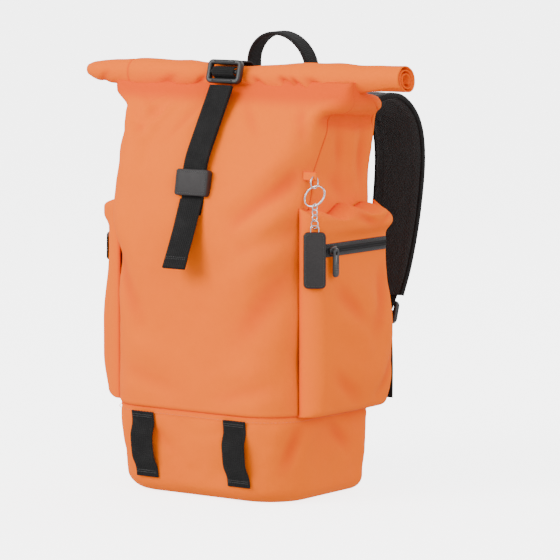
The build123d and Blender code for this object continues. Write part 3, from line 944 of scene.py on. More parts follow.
    def build(self) -> None:
        """Shapes the cloth, works out its painted shade and makes the four panels."""
        heights = np.concatenate([[self.seam, self.seam + 0.0008, self.seam + 0.002],
                np.arange(self.seam + 0.004, self.mouth + 0.0125, self.step)])
        grid, cloth = self.grid(heights)
        out = self.normals(grid)
        count = grid.shape[1]
        z = grid[..., 2]
        calm = ease((z - self.seam) / 0.02) * ease((self.mouth + 0.004 - z) / 0.02)
        swell = 0.0026 * np.sin(math.pi * np.clip((z - self.seam) / 0.24, 0, 1)) * ease(
            (np.abs(grid[..., 1]) - 0.04) / 0.03) * ease((0.09 - np.abs(grid[..., 0])) / 0.07)
        lift = swell + calm * (0.0016 * ripple(grid, 0.085, 3.1) + 0.0007 * ripple(grid, 0.030, 9.4, 3))
        sink = sum(crease.press(grid) for crease in self.creases)
        lip = self.gusset_lip(grid)
        corner = ease((-grid[..., 0] - 0.060) / 0.030) * ease((0.035 - grid[..., 1]) / 0.040)
        slouch = self.slouch * corner * ease((z - 0.205) / 0.05) * ease((0.352 - z) / 0.045)
        shift = lift - calm * sink + lip + slouch
        groove = self.seam_groove(count)[None, :] * ease((self.mouth - 0.004 - z) / 0.01)
        hem = bump_at(z, self.seam, 0.0012)
        shift -= 0.0011 * groove + 0.0012 * hem
        placed = grid + out * shift[..., None]
        # Painted shade: darker in the creases, the upright seam grooves and the hem, in a band of painted
        # shadow just under the roll, and where the side lip tucks in.
        fold = np.clip(calm * sink / 0.0038, 0, 1) ** 1.3 + 0.9 * groove + 0.9 * hem
        fold += 0.85 * ease((z - (self.mouth - 0.016)) / 0.014) + np.clip(-lip / 0.004, 0, 0.7)
        self.split(placed, cloth, np.clip(fold, 0, 1))

    def gusset_lip(self, grid: np.ndarray) -> np.ndarray:
        """The sides puff out under the roll and tuck in beneath that puff.

        Args:
            grid: Points of the rings.

        Returns:
            How far each point moves out.
        """
        x, y, z = grid[..., 0], grid[..., 1], grid[..., 2]
        side = ease((x - 0.094) / 0.02)
        span = ease((y + 0.036) / 0.02) * ease((self.back - 0.006 - y) / 0.02)
        return side * span * (0.0062 * bump_at(z, self.mouth - 0.010, 0.007)
                - 0.0056 * bump_at(z, self.mouth - 0.026 - 0.09 * (y - 0.01), 0.0065))

    def split(self, grid: np.ndarray, cloth: np.ndarray, fold: np.ndarray) -> None:
        """Cuts the ring at its seams into named panels.

        Args:
            grid: Points of the rings.
            cloth: Their cloth coordinates.
            fold: How dark each point is painted, as shade in creases, seams, the hem and under the roll.
        """
        count = grid.shape[1]
        spans = {"front_panel": range(-self.front_seam, self.front_seam + 1),
                 "right_side_panel": range(self.front_seam, self.back_seam + 1),
                 "back_panel": range(self.back_seam, count - self.back_seam + 1),
                 "left_side_panel": range(count - self.back_seam, count - self.front_seam + 1)}
        for name, span in spans.items():
            at = [c % count for c in span]
            skin = Skin(grid[:, at].reshape(-1, 3), grid_faces(len(grid), len(at)),
                        cloth[:, at].reshape(-1, 2), fold[:, at].ravel())
            made = skin.build(name + "_cloth", ORANGE)
            walled(made, self.wall)
            fit_piece(made, "root", "orange_polyester", name)


@dataclass
class LowerSection:
    """The separate lower section: a rounded tub of the same cloth with a closed bottom."""

    body: BagBody
    round: float = 0.014
    slope: float = 0.010
    sides: float = 0.004

    def build(self) -> None:
        """Makes the wall, the rolled bottom edge and the base, with the reinforcing seam above."""
        base = self.body.levels()[0]
        rings, cloths = [], []

        def narrowed(z: float) -> np.ndarray:
            """The wall draws in towards the floor, most at the front.

            Args:
                z: Height above the floor.

            Returns:
                The row of sizes there.
            """
            drop = (self.body.seam - z) / self.body.seam
            row = base.copy()
            row[1] -= self.sides * drop
            row[2] += self.slope * drop
            row[6] += self.slope * drop * 0.6
            return row
        heights = np.concatenate([[self.body.seam, self.body.seam - 0.0008, self.body.seam - 0.002],
                np.arange(self.body.seam - 0.004, self.round, -0.0024)])
        for z in heights:
            ring = self.body.ring(narrowed(z))
            rings.append(np.stack([ring[:, 0], ring[:, 1], np.full(len(ring), z)], axis=1))
            cloths.append(np.stack([ring[:, 2], np.full(len(ring), z)], axis=1))
        for angle in np.linspace(0, math.pi / 2, 9):
            row = narrowed(self.round * (1 - math.sin(angle)))
            inset = self.round * (1 - math.cos(angle))
            row[1] -= inset
            row[2:4] += (inset, -inset)
            row[4:6] -= inset * 0.9
            row[6:8] += (inset * 0.3, -inset * 0.3)
            ring = self.body.ring(row)
            z = self.round * (1 - math.sin(angle))
            rings.append(np.stack([ring[:, 0], ring[:, 1], np.full(len(ring), z)], axis=1))
            cloths.append(np.stack([ring[:, 2], np.full(len(ring), z - inset)], axis=1))
        flat = rings[-1]
        for share in (0.9, 0.6, 0.3, 0.02):
            ring = flat * np.array([share, share, 1.0])
            rings.append(ring)
            cloths.append(ring[:, :2])
        grid, cloth = np.array(rings), np.array(cloths)
        out = -BagBody.normals(grid)
        z = grid[..., 2]
        calm = ease((self.body.seam - z) / 0.012) * ease((z - 0.002) / 0.012)
        sway = calm * (0.0017 * ripple(grid, 0.070, 5.2) + 0.0007 * ripple(grid, 0.026, 1.4, 3))
        pinch = sum(Crease(a, b, w, d).press(grid) for a, b, w, d in (
            ((0.040, -0.082, 0.070), (0.060, -0.080, 0.030), 0.007, 0.0016),
            ((-0.050, -0.082, 0.068), (-0.020, -0.082, 0.040), 0.008, 0.0016),
            ((0.100, -0.045, 0.072), (0.092, -0.060, 0.030), 0.008, 0.0022),
            ((0.102, 0.000, 0.068), (0.102, 0.030, 0.045), 0.008, 0.0018),
            ((-0.100, -0.048, 0.070), (-0.090, -0.062, 0.030), 0.008, 0.0020)))
        hem = bump_at(z, self.body.seam, 0.0012)
        shift = sway - calm * pinch - 0.0012 * hem - 0.0010 * bump_at(z, self.body.seam - 0.0035, 0.0028)
        placed = grid + out * (shift * (z > 0.001))[..., None]
        placed[..., 2] = np.maximum(placed[..., 2], 0.0)
        faces = [tuple(reversed(f)) for f in grid_faces(len(grid), grid.shape[1], wrap=True)]
        faces.append(tuple(reversed(range((len(grid) - 1) * grid.shape[1], len(grid) * grid.shape[1]))))
        # Painted shade: the fold value darkens the pinched creases and the hem.
        skin = Skin(placed.reshape(-1, 3), faces, cloth.reshape(-1, 2),
                    np.clip(calm * pinch / 0.003 + 0.95 * hem, 0, 1).ravel())
        made = skin.build("lower_section_cloth", ORANGE)
        walled(made, self.body.wall)
        fit_piece(made, "root", "orange_polyester", "base_bucket", "base_board")


@dataclass
class RolledCollar:
    """The collar rolled up into a spiral that lies on the mouth, pinched under the closing strap."""

    height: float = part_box("rolled_collar")[0].z + 0.013
    left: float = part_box("rolled_collar")[0].x
    right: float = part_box("rolled_collar")[1].x
    turns: float = 2.75
    stretch: float = 1.045
    seam_at: float = -0.115
    sections: tuple[tuple[float, float, float], ...] = (
        (-0.1639, -0.005, 0.0062), (-0.157, -0.006, 0.0098), (-0.145, -0.007, 0.0118),
        (-0.115, -0.0075, 0.0128),
        (-0.080, -0.008, 0.0134), (-0.040, -0.009, 0.0130), (-0.020, -0.009, 0.0108),
        (-0.006, -0.009, 0.0090),
        (0.006, -0.009, 0.0088), (0.020, -0.0085, 0.0098), (0.040, -0.007, 0.0126),
        (0.080, -0.005, 0.0146),
        (0.120, 0.004, 0.0148), (0.148, 0.012, 0.0150), (0.1645, 0.017, 0.0152))

    def build(self) -> None:
        """Makes the spiral sheet with its cross seam, puckers and folds, and its painted shade."""
        table = np.array(self.sections)
        table[:, 0] *= self.stretch
        along = np.linspace(table[0, 0], table[-1, 0], 210)
        middle = np.interp(along, table[:, 0], table[:, 1])
        radius = np.interp(along, table[:, 0], table[:, 2])
        smooth = np.ones(5) / 5
        middle[2:-2], radius[2:-2] = np.convolve(middle, smooth, "valid"), np.convolve(radius, smooth,
            "valid")
        angles = np.linspace(0.0, self.turns * 2 * math.pi, 130)
        start = -0.62 * math.pi
        rows = []
        for x, y, r in zip(along, middle, radius):
            share = 1.0 - 0.68 * angles / angles[-1]
            squash = 1.0 - 0.16 * ease((x - 0.110) / 0.05) - 0.12 * ease((-0.120 - x) / 0.04)
            turn = start - angles
            a, b = np.cos(turn) * r * share, np.sin(turn) * r * share * squash
            tilt = 0.55 * ease((x - 0.120) / 0.045)
            rows.append(np.stack([np.full(len(angles), x), y + a * math.cos(tilt) + b * math.sin(tilt),
                    self.height + b * math.cos(tilt) - a * math.sin(tilt)], axis=1))
        grid = np.array(rows)
        axis = np.stack([along, middle, np.full(len(along), self.height)], axis=1)[:, None]
        out = grid - axis
        out[..., 0] = 0.0
        out /= np.linalg.norm(out, axis=-1)[..., None] + 1e-9
        x, z = grid[..., 0], grid[..., 2]
        outer = ease((2.15 * math.pi - angles)[None, :] / 1.2)
        seam = bump_at(x, self.seam_at, 0.0011)
        puckers = ((0.060, 0.0050, 0.0050), (0.072, 0.0040, 0.0044), (0.090, 0.0060, 0.0034),
                   (0.028, 0.0050, 0.0030),
                   (-0.026, 0.0045, 0.0028), (-0.062, 0.0080, 0.0018), (-0.140, 0.0050, 0.0016))
        dip = np.zeros_like(x)
        for centre, width, depth in puckers:
            lean = centre + 0.9 * (self.height - z) * (1 if centre > 0 else -1)
            dip += depth * bump_at(x, lean, width) * ease((self.height + 0.004 - z) / 0.010)
        wave = 0.0012 * ripple(grid * np.array([0.6, 1.0, 1.0]), 0.024, 2.2) + 0.0008 * ripple(grid,
            0.055, 7.7)
        shift = outer * (wave - dip - 0.0008 * seam)
        grid = grid + out * shift[..., None]
        # Painted shade: darker in the puckers and along the cross seam, a band of painted shadow on the
        # roll's underside, and the inner turns darkened as shade inside the spiral.
        fold = np.clip(outer * dip / 0.0028, 0, 1) + 0.9 * seam * outer
        fold += 0.75 * ease((self.height - 0.006 - z) / 0.008) * outer + 0.5 * (1 - outer)
        run = np.cumsum(np.concatenate([[0.0], np.full(len(angles) - 1, 0.0011)]))
        cloth = np.stack([x, np.broadcast_to(run, x.shape)], axis=-1)
        faces = grid_faces(len(grid), grid.shape[1])
        skin = Skin(grid.reshape(-1, 3), faces, cloth.reshape(-1, 2), np.clip(fold, 0, 1).ravel())
        made = skin.build("rolled_collar_cloth", ORANGE)
        wall = made.modifiers.new("wall", "SOLIDIFY")
        wall.thickness, wall.offset = 0.0009, 0.0
        fit_piece(made, "root", "orange_polyester", "rolled_collar")


class Side(Enum):
    """Which side of the bag a piece is on, and its direction along X."""

    LEFT = -1
    RIGHT = 1

    def place(self, skin: Skin) -> Skin:
        """Puts a right-hand skin on this side."""
        return skin if self is Side.RIGHT else skin.mirrored()

    def name(self, piece: str) -> str:
        """A piece's name on this side."""
        return f"{'left' if self is Side.LEFT else 'right'}_{piece}"


# ---- Repeated details ----
class Repeater:
    """A Geometry Nodes tree that lays one small solid along a line, as stitches or zip teeth."""

    _tree: bpy.types.NodeTree | None = None

    @classmethod
    def tree(cls) -> bpy.types.NodeTree:
        """Builds the tree once: line, even points, small ellipsoids, one mesh.

        Returns:
            The node tree.
        """
        if cls._tree is not None:
            return cls._tree
        tree = bpy.data.node_groups.new("laid_along_a_line", "GeometryNodeTree")
        face = tree.interface
        face.new_socket("Geometry", in_out="INPUT", socket_type="NodeSocketGeometry")
        for name in ("Pitch", "Across", "Through", "Length"):
            face.new_socket(name, in_out="INPUT", socket_type="NodeSocketFloat")
        face.new_socket("Upright", in_out="INPUT", socket_type="NodeSocketBool")
        face.new_socket("Finish", in_out="INPUT", socket_type="NodeSocketMaterial")
        face.new_socket("Geometry", in_out="OUTPUT", socket_type="NodeSocketGeometry")
        add, link = tree.nodes.new, tree.links.new
        given, result = add("NodeGroupInput"), add("NodeGroupOutput")
        line, points = add("GeometryNodeMeshToCurve"), add("GeometryNodeCurveToPoints")
        points.mode = "LENGTH"
        ball, size = add("GeometryNodeMeshUVSphere"), add("ShaderNodeCombineXYZ")
        ball.inputs["Segments"].default_value, ball.inputs["Rings"].default_value = 7, 5
        turn = add("GeometryNodeSwitch")
        turn.input_type = "ROTATION"
        laid, whole = add("GeometryNodeInstanceOnPoints"), add("GeometryNodeRealizeInstances")
        smooth, dressed = add("GeometryNodeSetShadeSmooth"), add("GeometryNodeSetMaterial")
        link(given.outputs["Geometry"], line.inputs[0])
        link(line.outputs[0], points.inputs["Curve"])
        link(given.outputs["Pitch"], points.inputs["Length"])
        for axis, name in zip("XYZ", ("Across", "Through", "Length")):
            link(given.outputs[name], size.inputs[axis])
        link(given.outputs["Upright"], turn.inputs["Switch"])
        link(points.outputs["Rotation"], turn.inputs["False"])
        link(points.outputs["Points"], laid.inputs["Points"])
        link(ball.outputs[0], laid.inputs["Instance"])
        link(turn.outputs[0], laid.inputs["Rotation"])
        link(size.outputs[0], laid.inputs["Scale"])
        link(laid.outputs[0], whole.inputs[0])
        link(whole.outputs[0], smooth.inputs["Geometry"])
        link(smooth.outputs[0], dressed.inputs["Geometry"])
        link(given.outputs["Finish"], dressed.inputs["Material"])
        link(dressed.outputs[0], result.inputs[0])
        cls._tree = tree
        return tree

    @classmethod
    def lay(cls, name: str, lines: list[np.ndarray], finish: Finish, pitch: float,
            size: tuple[float, float, float], upright: bool = False) -> bpy.types.Object:
        """Lays ellipsoids along lines.

        Args:
            name: The piece's name.
            lines: Runs of points, in metres.
            finish: The finish.
            pitch: Space from one to the next.
            size: Half sizes across, through and along the line; along X, Y and Z if upright.
            upright: Keeps each one square to the axes.

        Returns:
            A plain mesh.
        """
        mesh = bpy.data.meshes.new(name + "_line")
        points, edges = [], []
        for line in lines:
            edges += [(len(points) + i, len(points) + i + 1) for i in range(len(line) - 1)]
            points += line.tolist()
        mesh.from_pydata(points, edges, [])
        carrier = bpy.data.objects.new(name, mesh)
        bpy.context.scene.collection.objects.link(carrier)
        layer = carrier.modifiers.new("laid", "NODES")
        layer.node_group = cls.tree()
        values = {"Pitch": pitch, "Across": size[0], "Through": size[1], "Length": size[2],
                  "Upright": upright, "Finish": finish.material()}
        for item in cls.tree().interface.items_tree:
            if item.in_out == "INPUT" and item.name in values:
                layer[item.identifier] = values[item.name]
        seen = carrier.evaluated_get(bpy.context.evaluated_depsgraph_get())
        plain = bpy.data.meshes.new_from_object(seen)
        carrier.modifiers.clear()
        carrier.data = plain
        return carrier


def stitches(name: str, lines: list[np.ndarray], finish: Finish, body: str, slot: str,
             pitch: float = 0.0032, width: float = 0.00032) -> None:
    """Sews runs of thread that ride on a body."""
    made = Repeater.lay(name, lines, finish, pitch, (width, width, pitch * 0.38))
    fit_piece(made, body, slot)


# ---- Side pockets and zips ----
@dataclass
class SidePocket:
    """A puffed side pocket with a level zip, its slider and its pull."""

    side: Side
    low: Vector = field(default_factory=lambda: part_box("right_pocket")[0])
    high: Vector = field(default_factory=lambda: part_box("right_pocket")[1])
    tape: tuple = field(default_factory=lambda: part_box("right_zip_tape"))
    slider: tuple = field(default_factory=lambda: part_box("right_zip_slider"))
    front_round: float = 0.012
    back_round: float = 0.011
    top_round: float = 0.011
    bottom_round: float = 0.007

    @property
    def full(self) -> float:
        """How far the cloth stands out, more on the slack left side."""
        return 0.0140 if self.side is Side.LEFT else 0.0120

    @property
    def lean(self) -> float:
        """Where the fullness sits: below 1 towards the front, above 1 towards the back."""
        return 0.70 if self.side is Side.LEFT else 1.70

    @staticmethod
    def margin(low: float, high: float, first: float, last: float, step: float) -> tuple[np.ndarray,
        np.ndarray]:
        """Places along an edge-to-edge run and how far each stands out, from 0 to 1, rounded at both ends.

        Args:
            low: Start of the run.
            high: Its end.
            first: Rounding at the start.
            last: Rounding at the end.
            step: Usual spacing.

        Returns:
            The places, and the rise at each.
        """
        turn = np.linspace(0, math.pi / 2, 9)
        a = low + first * (1 - np.cos(turn))
        b = high - last * (1 - np.cos(turn[::-1]))
        middle = np.linspace(low + first, high - last, int((high - low - first - last) / step))[1:-1]
        place = np.concatenate([a, middle, b])
        rise = np.concatenate([np.sin(turn), np.ones(len(middle)), np.sin(turn[::-1])])
        return place, rise

    def shell(self) -> Skin:
        """The pocket's outside, flat along the zip and puffed above and below it, with painted shade in its
        creases and at its rims.

        Returns:
            The open shell, right-handed.
        """
        inner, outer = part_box("base_bucket")[1].x, self.high.x
        y, front = self.margin(self.low.y, self.high.y, self.front_round, self.back_round, 0.0022)
        z, tall = self.margin(self.low.z, self.high.z, self.bottom_round, self.top_round, 0.0022)
        tall = np.where(z < self.low.z + self.bottom_round, 0.62 + 0.38 * tall, tall)
        yy, zz = np.meshgrid(y, z)
        zip_z = (self.tape[0].z + self.tape[1].z) / 2
        share = np.clip((yy - self.low.y - 0.006) / (self.high.y - self.low.y - 0.006), 1e-6, 1 - 1e-6)
        across = np.sin(math.pi * share ** self.lean) ** 0.5
        below = ease((zip_z - 0.009 - zz) / 0.07) * ease((zz - self.low.z + 0.01) / 0.05)
        above = ease((zz - zip_z - 0.008) / 0.012) * ease((self.high.z - zz + 0.004) / 0.012)
        out = (outer - inner) * front[None, :] * tall[:, None]
        grid = np.stack([inner + out, yy, zz], axis=-1)
        free = np.minimum(front[None, :] * tall[:, None], 1.0) * ease((np.abs(zz - zip_z) - 0.008) / 0.02)
        free = free * ease((yy - self.low.y - 0.012) / 0.02)
        puff = self.full * across * (below + 0.85 * above)
        puff += free * (0.0013 * ripple(grid, 0.050, 4.4) + 0.0006 * ripple(grid, 0.020, 8.8, 3))
        creases = (Crease((0.122, 0.000, 0.262), (0.122, 0.042, 0.244), 0.006, 0.0030),
                   Crease((0.122, 0.060, 0.262), (0.122, 0.038, 0.250), 0.004, 0.0026),
                   Crease((0.122, -0.020, 0.195), (0.122, 0.020, 0.160), 0.010, 0.0020),
                   Crease((0.122, 0.050, 0.205), (0.122, 0.030, 0.150), 0.010, 0.0022),
                   Crease((0.122, -0.030, 0.120), (0.122, 0.010, 0.092), 0.008, 0.0018),
                   Crease((0.122, 0.058, 0.130), (0.122, 0.036, 0.095), 0.007, 0.0018))
        sink = sum(c.press(grid) for c in creases) * free
        grid[..., 0] += puff - sink
        top = ease((zz - self.high.z + 0.016) / 0.016)
        grid[...,
             2] += top * (0.0030 * np.sin(yy * 160.0 + 0.6) + 0.0022 * np.sin(yy * 71.0)) * front[None,
                 :] ** 2
        grid[..., 2] -= 0.0035 * top * front[None, :] ** 2
        # Painted shade: darker in the creases and along the top, front and back rims, where the cloth turns
        # in to the bag.
        fold = np.clip(sink / 0.0035, 0, 1) + 0.7 * bump_at(tall, 0.0, 0.25)[:, None]
        fold = fold + 0.6 * bump_at(front, 0.0, 0.12)[None, :]
        cloth = np.stack([yy, zz], axis=-1)
        faces = grid_faces(len(z), len(y))
        rows, columns = grid.shape[:2]
        floor_row = grid[0].copy()
        floor_row[:, 0] = inner - 0.001
        points = np.vstack([grid.reshape(-1, 3), floor_row])
        shift = rows * columns
        faces += [(shift + c, shift + c + 1, c + 1, c) for c in range(columns - 1)]
        cloth = np.vstack([cloth.reshape(-1, 2), np.stack([floor_row[:, 1], floor_row[:, 0]], axis=1)])
        # The strip that closes the bottom against the bag is painted dark as shade.
        return Skin(points, faces, cloth,
                    np.concatenate([np.clip(fold, 0, 1).ravel(), np.full(columns, 0.9)]))

    def zip_tape(self) -> Skin:
        """The two woven tapes as one band with bound ends."""
        low, high = self.tape
        path = np.linspace((0, low.y, 0), (0, high.y, 0), 60)
        path[:, 0], path[:, 2] = low.x + 0.0002, (low.z + high.z) / 2
        return sweep(path, np.array([0.0, 0.0, 1.0]), band_section(high.z - low.z, 0.0011, 15))

    def bridge(self) -> Skin:
        """The slider's body: a rounded shield with a raised bridge.

        Returns:
            The closed slider, right-handed.
        """
        low, high = self.slider
        centre = (low + high) / 2
        half = (high - low) / 2
        turn = np.linspace(0, 2 * math.pi, 40, endpoint=False)
        rings, faces = [], []
        for depth, size in ((-1.0, 0.90), (-0.7, 1.0), (0.25, 1.0), (0.55, 0.93), (0.72, 0.70),
                            (0.78, 0.30)):
            y = half.y * size * np.sign(np.cos(turn)) * np.abs(np.cos(turn)) ** 0.62
            z = (half.z * size * (0.80 + 0.20 * np.cos(turn)) * np.sign(np.sin(turn))
                 * np.abs(np.sin(turn)) ** 0.7)
            rings.append(np.stack([np.full(40, centre.x + half.x * depth), centre.y + y, centre.z + z],
                    axis=1))
        faces = grid_faces(len(rings), 40, wrap=True)
        faces += [tuple(reversed(range(40))), tuple((len(rings) - 1) * 40 + c for c in range(40))]
        points = np.vstack(rings)
        plate = Skin(points, faces, points[:, 1:], np.zeros(len(points)))
        arch = eased([(high.x - 0.0012, centre.y - 0.0034, centre.z),
                      (high.x + 0.0006, centre.y - 0.0026, centre.z),
                      (high.x + 0.0006, centre.y + 0.0026, centre.z),
                      (high.x - 0.0012, centre.y + 0.0034, centre.z)],
                     0.001, 0.0004)
        return plate.joined(sweep(arch, np.array([0.0, 0.0, 1.0]),
                round_section(0.0013, 0.0005, 12, 0.7)))

    def pull(self) -> Skin:
        """The moulded pull: a rounded tongue with an eye, a waist and a ribbed grip.

        Returns:
            The closed pull, right-handed.
        """
        low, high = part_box("right_zip_pull")
        centre, half = (low + high) / 2, (high - low) / 2
        outline = rounded_loop(2 * half.y, 2 * half.z, half.y * 0.82, 10)
        waist = 1.0 - 0.20 * bump_at(outline[:, 1], half.z * 0.25, 0.006)
        outline[:, 0] *= waist
        rings = []
        for depth, inset in ((-1.0, 0.0007), (-0.6, 0.0), (0.6, 0.0), (1.0, 0.0007)):
            size = np.array([1 - inset / half.y, 1 - inset / half.z])
            loop = outline * size
            rings.append(np.stack([np.full(len(loop), centre.x + half.x * depth), centre.y + loop[:, 0],
                    centre.z + loop[:, 1]], axis=1))
        eye_z = high.z - 0.0045
        eye = np.stack([0.0018 * np.cos(np.linspace(0, 2 * math.pi, len(outline), endpoint=False)),
                        0.0018 * np.sin(np.linspace(0, 2 * math.pi, len(outline), endpoint=False))],
                       axis=1)
        for depth in (1.0, -1.0):
            rings.append(np.stack([np.full(len(eye), centre.x + half.x * depth), centre.y + eye[:, 0],
                    eye_z + eye[:, 1]], axis=1))
        rings.append(rings[0])
        points = np.vstack(rings)
        body = Skin(points, grid_faces(len(rings), len(outline), wrap=True), points[:, 1:],
                    np.zeros(len(points)))
        for step in range(4):
            z = low.z + 0.0045 + 0.0021 * step
            rib = np.linspace((high.x - 0.0001, centre.y - 0.0026, z),
                              (high.x - 0.0001, centre.y + 0.0026, z), 8)
            body = body.joined(sweep(rib, np.array([0.0, 0.0, 1.0]), round_section(0.0005, 0.0004, 8)))
        return body

    def build(self) -> None:
        """Makes and attaches every piece of the pocket."""
        name, place = self.side.name, self.side.place
        made = place(self.shell()).build(name("pocket_cloth"), ORANGE)
        walled(made, 0.0012)
        fit_piece(made, "root", "orange_polyester", name("pocket"))
        made = place(self.zip_tape()).build(name("zip_tape_weave"), TAPE, outward=True)
        fit_piece(made, "root", "zip_tape", name("zip_tape"))
        low, high = self.tape
        sign, middle = self.side.value, (low.z + high.z) / 2
        rows = [np.array([(sign * (high.x + 0.0006), y, middle + dz) for y in np.linspace(low.y + 0.001,
            high.y - 0.001, 40)])
                for dz in (0.00115, -0.00115)]
        made = Repeater.lay(name("zip_teeth"), rows, PLASTIC, 0.0013, (0.0007, 0.00042, 0.00135),
                            upright=True)
        fit_piece(made, "root", "black_plastic", name("zip_coil"))
        made = place(self.bridge()).build(name("zip_slider_body"), LACQUER, outward=True)
        fit_piece(made, name("zip_slider"), "dark_metal", name("zip_slider"))
        made = place(self.pull()).build(name("zip_pull_tongue"), LACQUER, outward=True)
        fit_piece(made, name("zip_pull"), "dark_metal", name("zip_pull"))
        runs = [np.array([(sign * (high.x + 0.0004), y, middle + dz) for y in np.linspace(low.y + 0.002,
            high.y - 0.002, 40)])
                for dz in (0.0050, -0.0050)]
        stitches(name("zip_stitching"), runs, BLACK_THREAD, "root", "zip_tape", 0.0028, 0.00026)


# ---- Webbing, buckles and the badge ----
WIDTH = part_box("closure_tail")[1].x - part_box("closure_tail")[0].x
THICK = 0.0018
ACROSS_X = np.array([1.0, 0.0, 0.0])


def web(name: str, points: list[tuple[float, float, float]], radius: float, body: str, node: str,
        side: np.ndarray = ACROSS_X, width: float = WIDTH, thick: float = THICK) -> bpy.types.Object:
    """Makes a length of webbing through points and attaches it."""
    skin = sweep(eased(points, radius, 0.0016), side, band_section(width, thick))
    made = skin.build(name, WEBBING, outward=True)
    return fit_piece(made, body, "black_webbing", node)


def box_stitch(centre: np.ndarray, u: np.ndarray, v: np.ndarray, width: float,
               height: float) -> list[np.ndarray]:
    """Lines of a sewn box with a cross in it."""
    corners = [centre + sx * u * width / 2 + sy * v * height / 2 for sx,
               sy in ((-1, -1), (1, -1), (1, 1), (-1, 1))]
    return [np.array([*corners, corners[0]]), np.array([corners[0], corners[2]]),
            np.array([corners[1], corners[3]])]


@dataclass
class GearLoops:
    """Two flat loops sewn on the lower section, each with a gap behind it."""

    front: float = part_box("base_bucket")[0].y
    top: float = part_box("right_gear_loop")[1].z
    bottom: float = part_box("right_gear_loop")[0].z
    proud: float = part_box("right_gear_loop")[0].y
    middle: float = (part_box("right_gear_loop")[0].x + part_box("right_gear_loop")[1].x) / 2
    slope: float = 0.010

    def build(self) -> None:
        """Makes both loops and their bar tacks."""
        sewn, out = self.front - 0.0011, self.proud + THICK / 2
        slope = self.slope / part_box("base_bucket")[1].z
        for side in Side:
            x = side.value * self.middle
            run = [(x, sewn, self.top), (x, sewn, self.top - 0.012), (x, out, self.top - 0.021),
                   (x, out - 0.0002, self.top - 0.034), (x, out, self.bottom + 0.018),
                   (x, sewn, self.bottom + 0.009), (x, sewn, self.bottom)]
            run = [(px, py + slope * (self.top + 0.004 - pz), pz) for px, py, pz in run]
            web(side.name("gear_loop_web"), run, 0.006, "root", side.name("gear_loop"))
            tacks = [np.array([(x + dx, sewn - 0.0011 + slope * (self.top + 0.004 - z),
                                z) for dx in (-0.0105, 0.0105)])
                     for z in (self.top - 0.003, self.top - 0.0048, self.bottom + 0.0058,
                               self.bottom + 0.004)]
            stitches(side.name("gear_loop_tacks"), tacks, BLACK_THREAD, "root", "black_webbing", 0.0013,
                     0.00036)


@dataclass
class LadderLock:
    """A moulded ladder-lock buckle: a rounded frame with two slots, a middle bar and thumb ridges on the
    frame.
    """

    centre: np.ndarray
    up: np.ndarray
    width: float = 0.038
    height: float = 0.022
    thick: float = 0.006

    def skin(self) -> Skin:
        """Frame, middle bar and thumb ridges as one skin.

        Returns:
            The closed adjuster.
        """
        u, v = ACROSS_X, self.up / np.linalg.norm(self.up)
        n = np.cross(u, v)
        bar = 0.0044
        loop = rounded_loop(self.width - bar, self.height - bar, 0.0028, 6)
        path = self.centre + loop[:, :1] * u + loop[:, 1:] * v
        frame_skin = sweep(path, n, round_section(self.thick / 2, bar / 2, 16, 0.55), closed=True)
        for at, reach in ((0.0, 0.36), (0.30, 0.40), (-0.30, 0.40)):
            ends = [self.centre + s * u * (self.width / 2 - 0.004) + v * at
                    * (0.0 if at == 0.0 else 0.004)
                    for s in (-1, 1)]
            rod = np.linspace(ends[0], ends[1], 10)
            if at == 0.0:
                frame_skin = frame_skin.joined(sweep(rod, n,
                        round_section(self.thick * reach, bar * 0.42, 14,
                        0.6)))
        for row in (-1, 1):
            rod = np.linspace(self.centre - u * self.width * 0.3, self.centre + u * self.width * 0.3, 10)
            rod = rod + v * row * (self.height / 2 - bar / 2) + n * self.thick * 0.44
            frame_skin = frame_skin.joined(sweep(rod, n, round_section(0.0008, 0.0009, 10)))
        return frame_skin


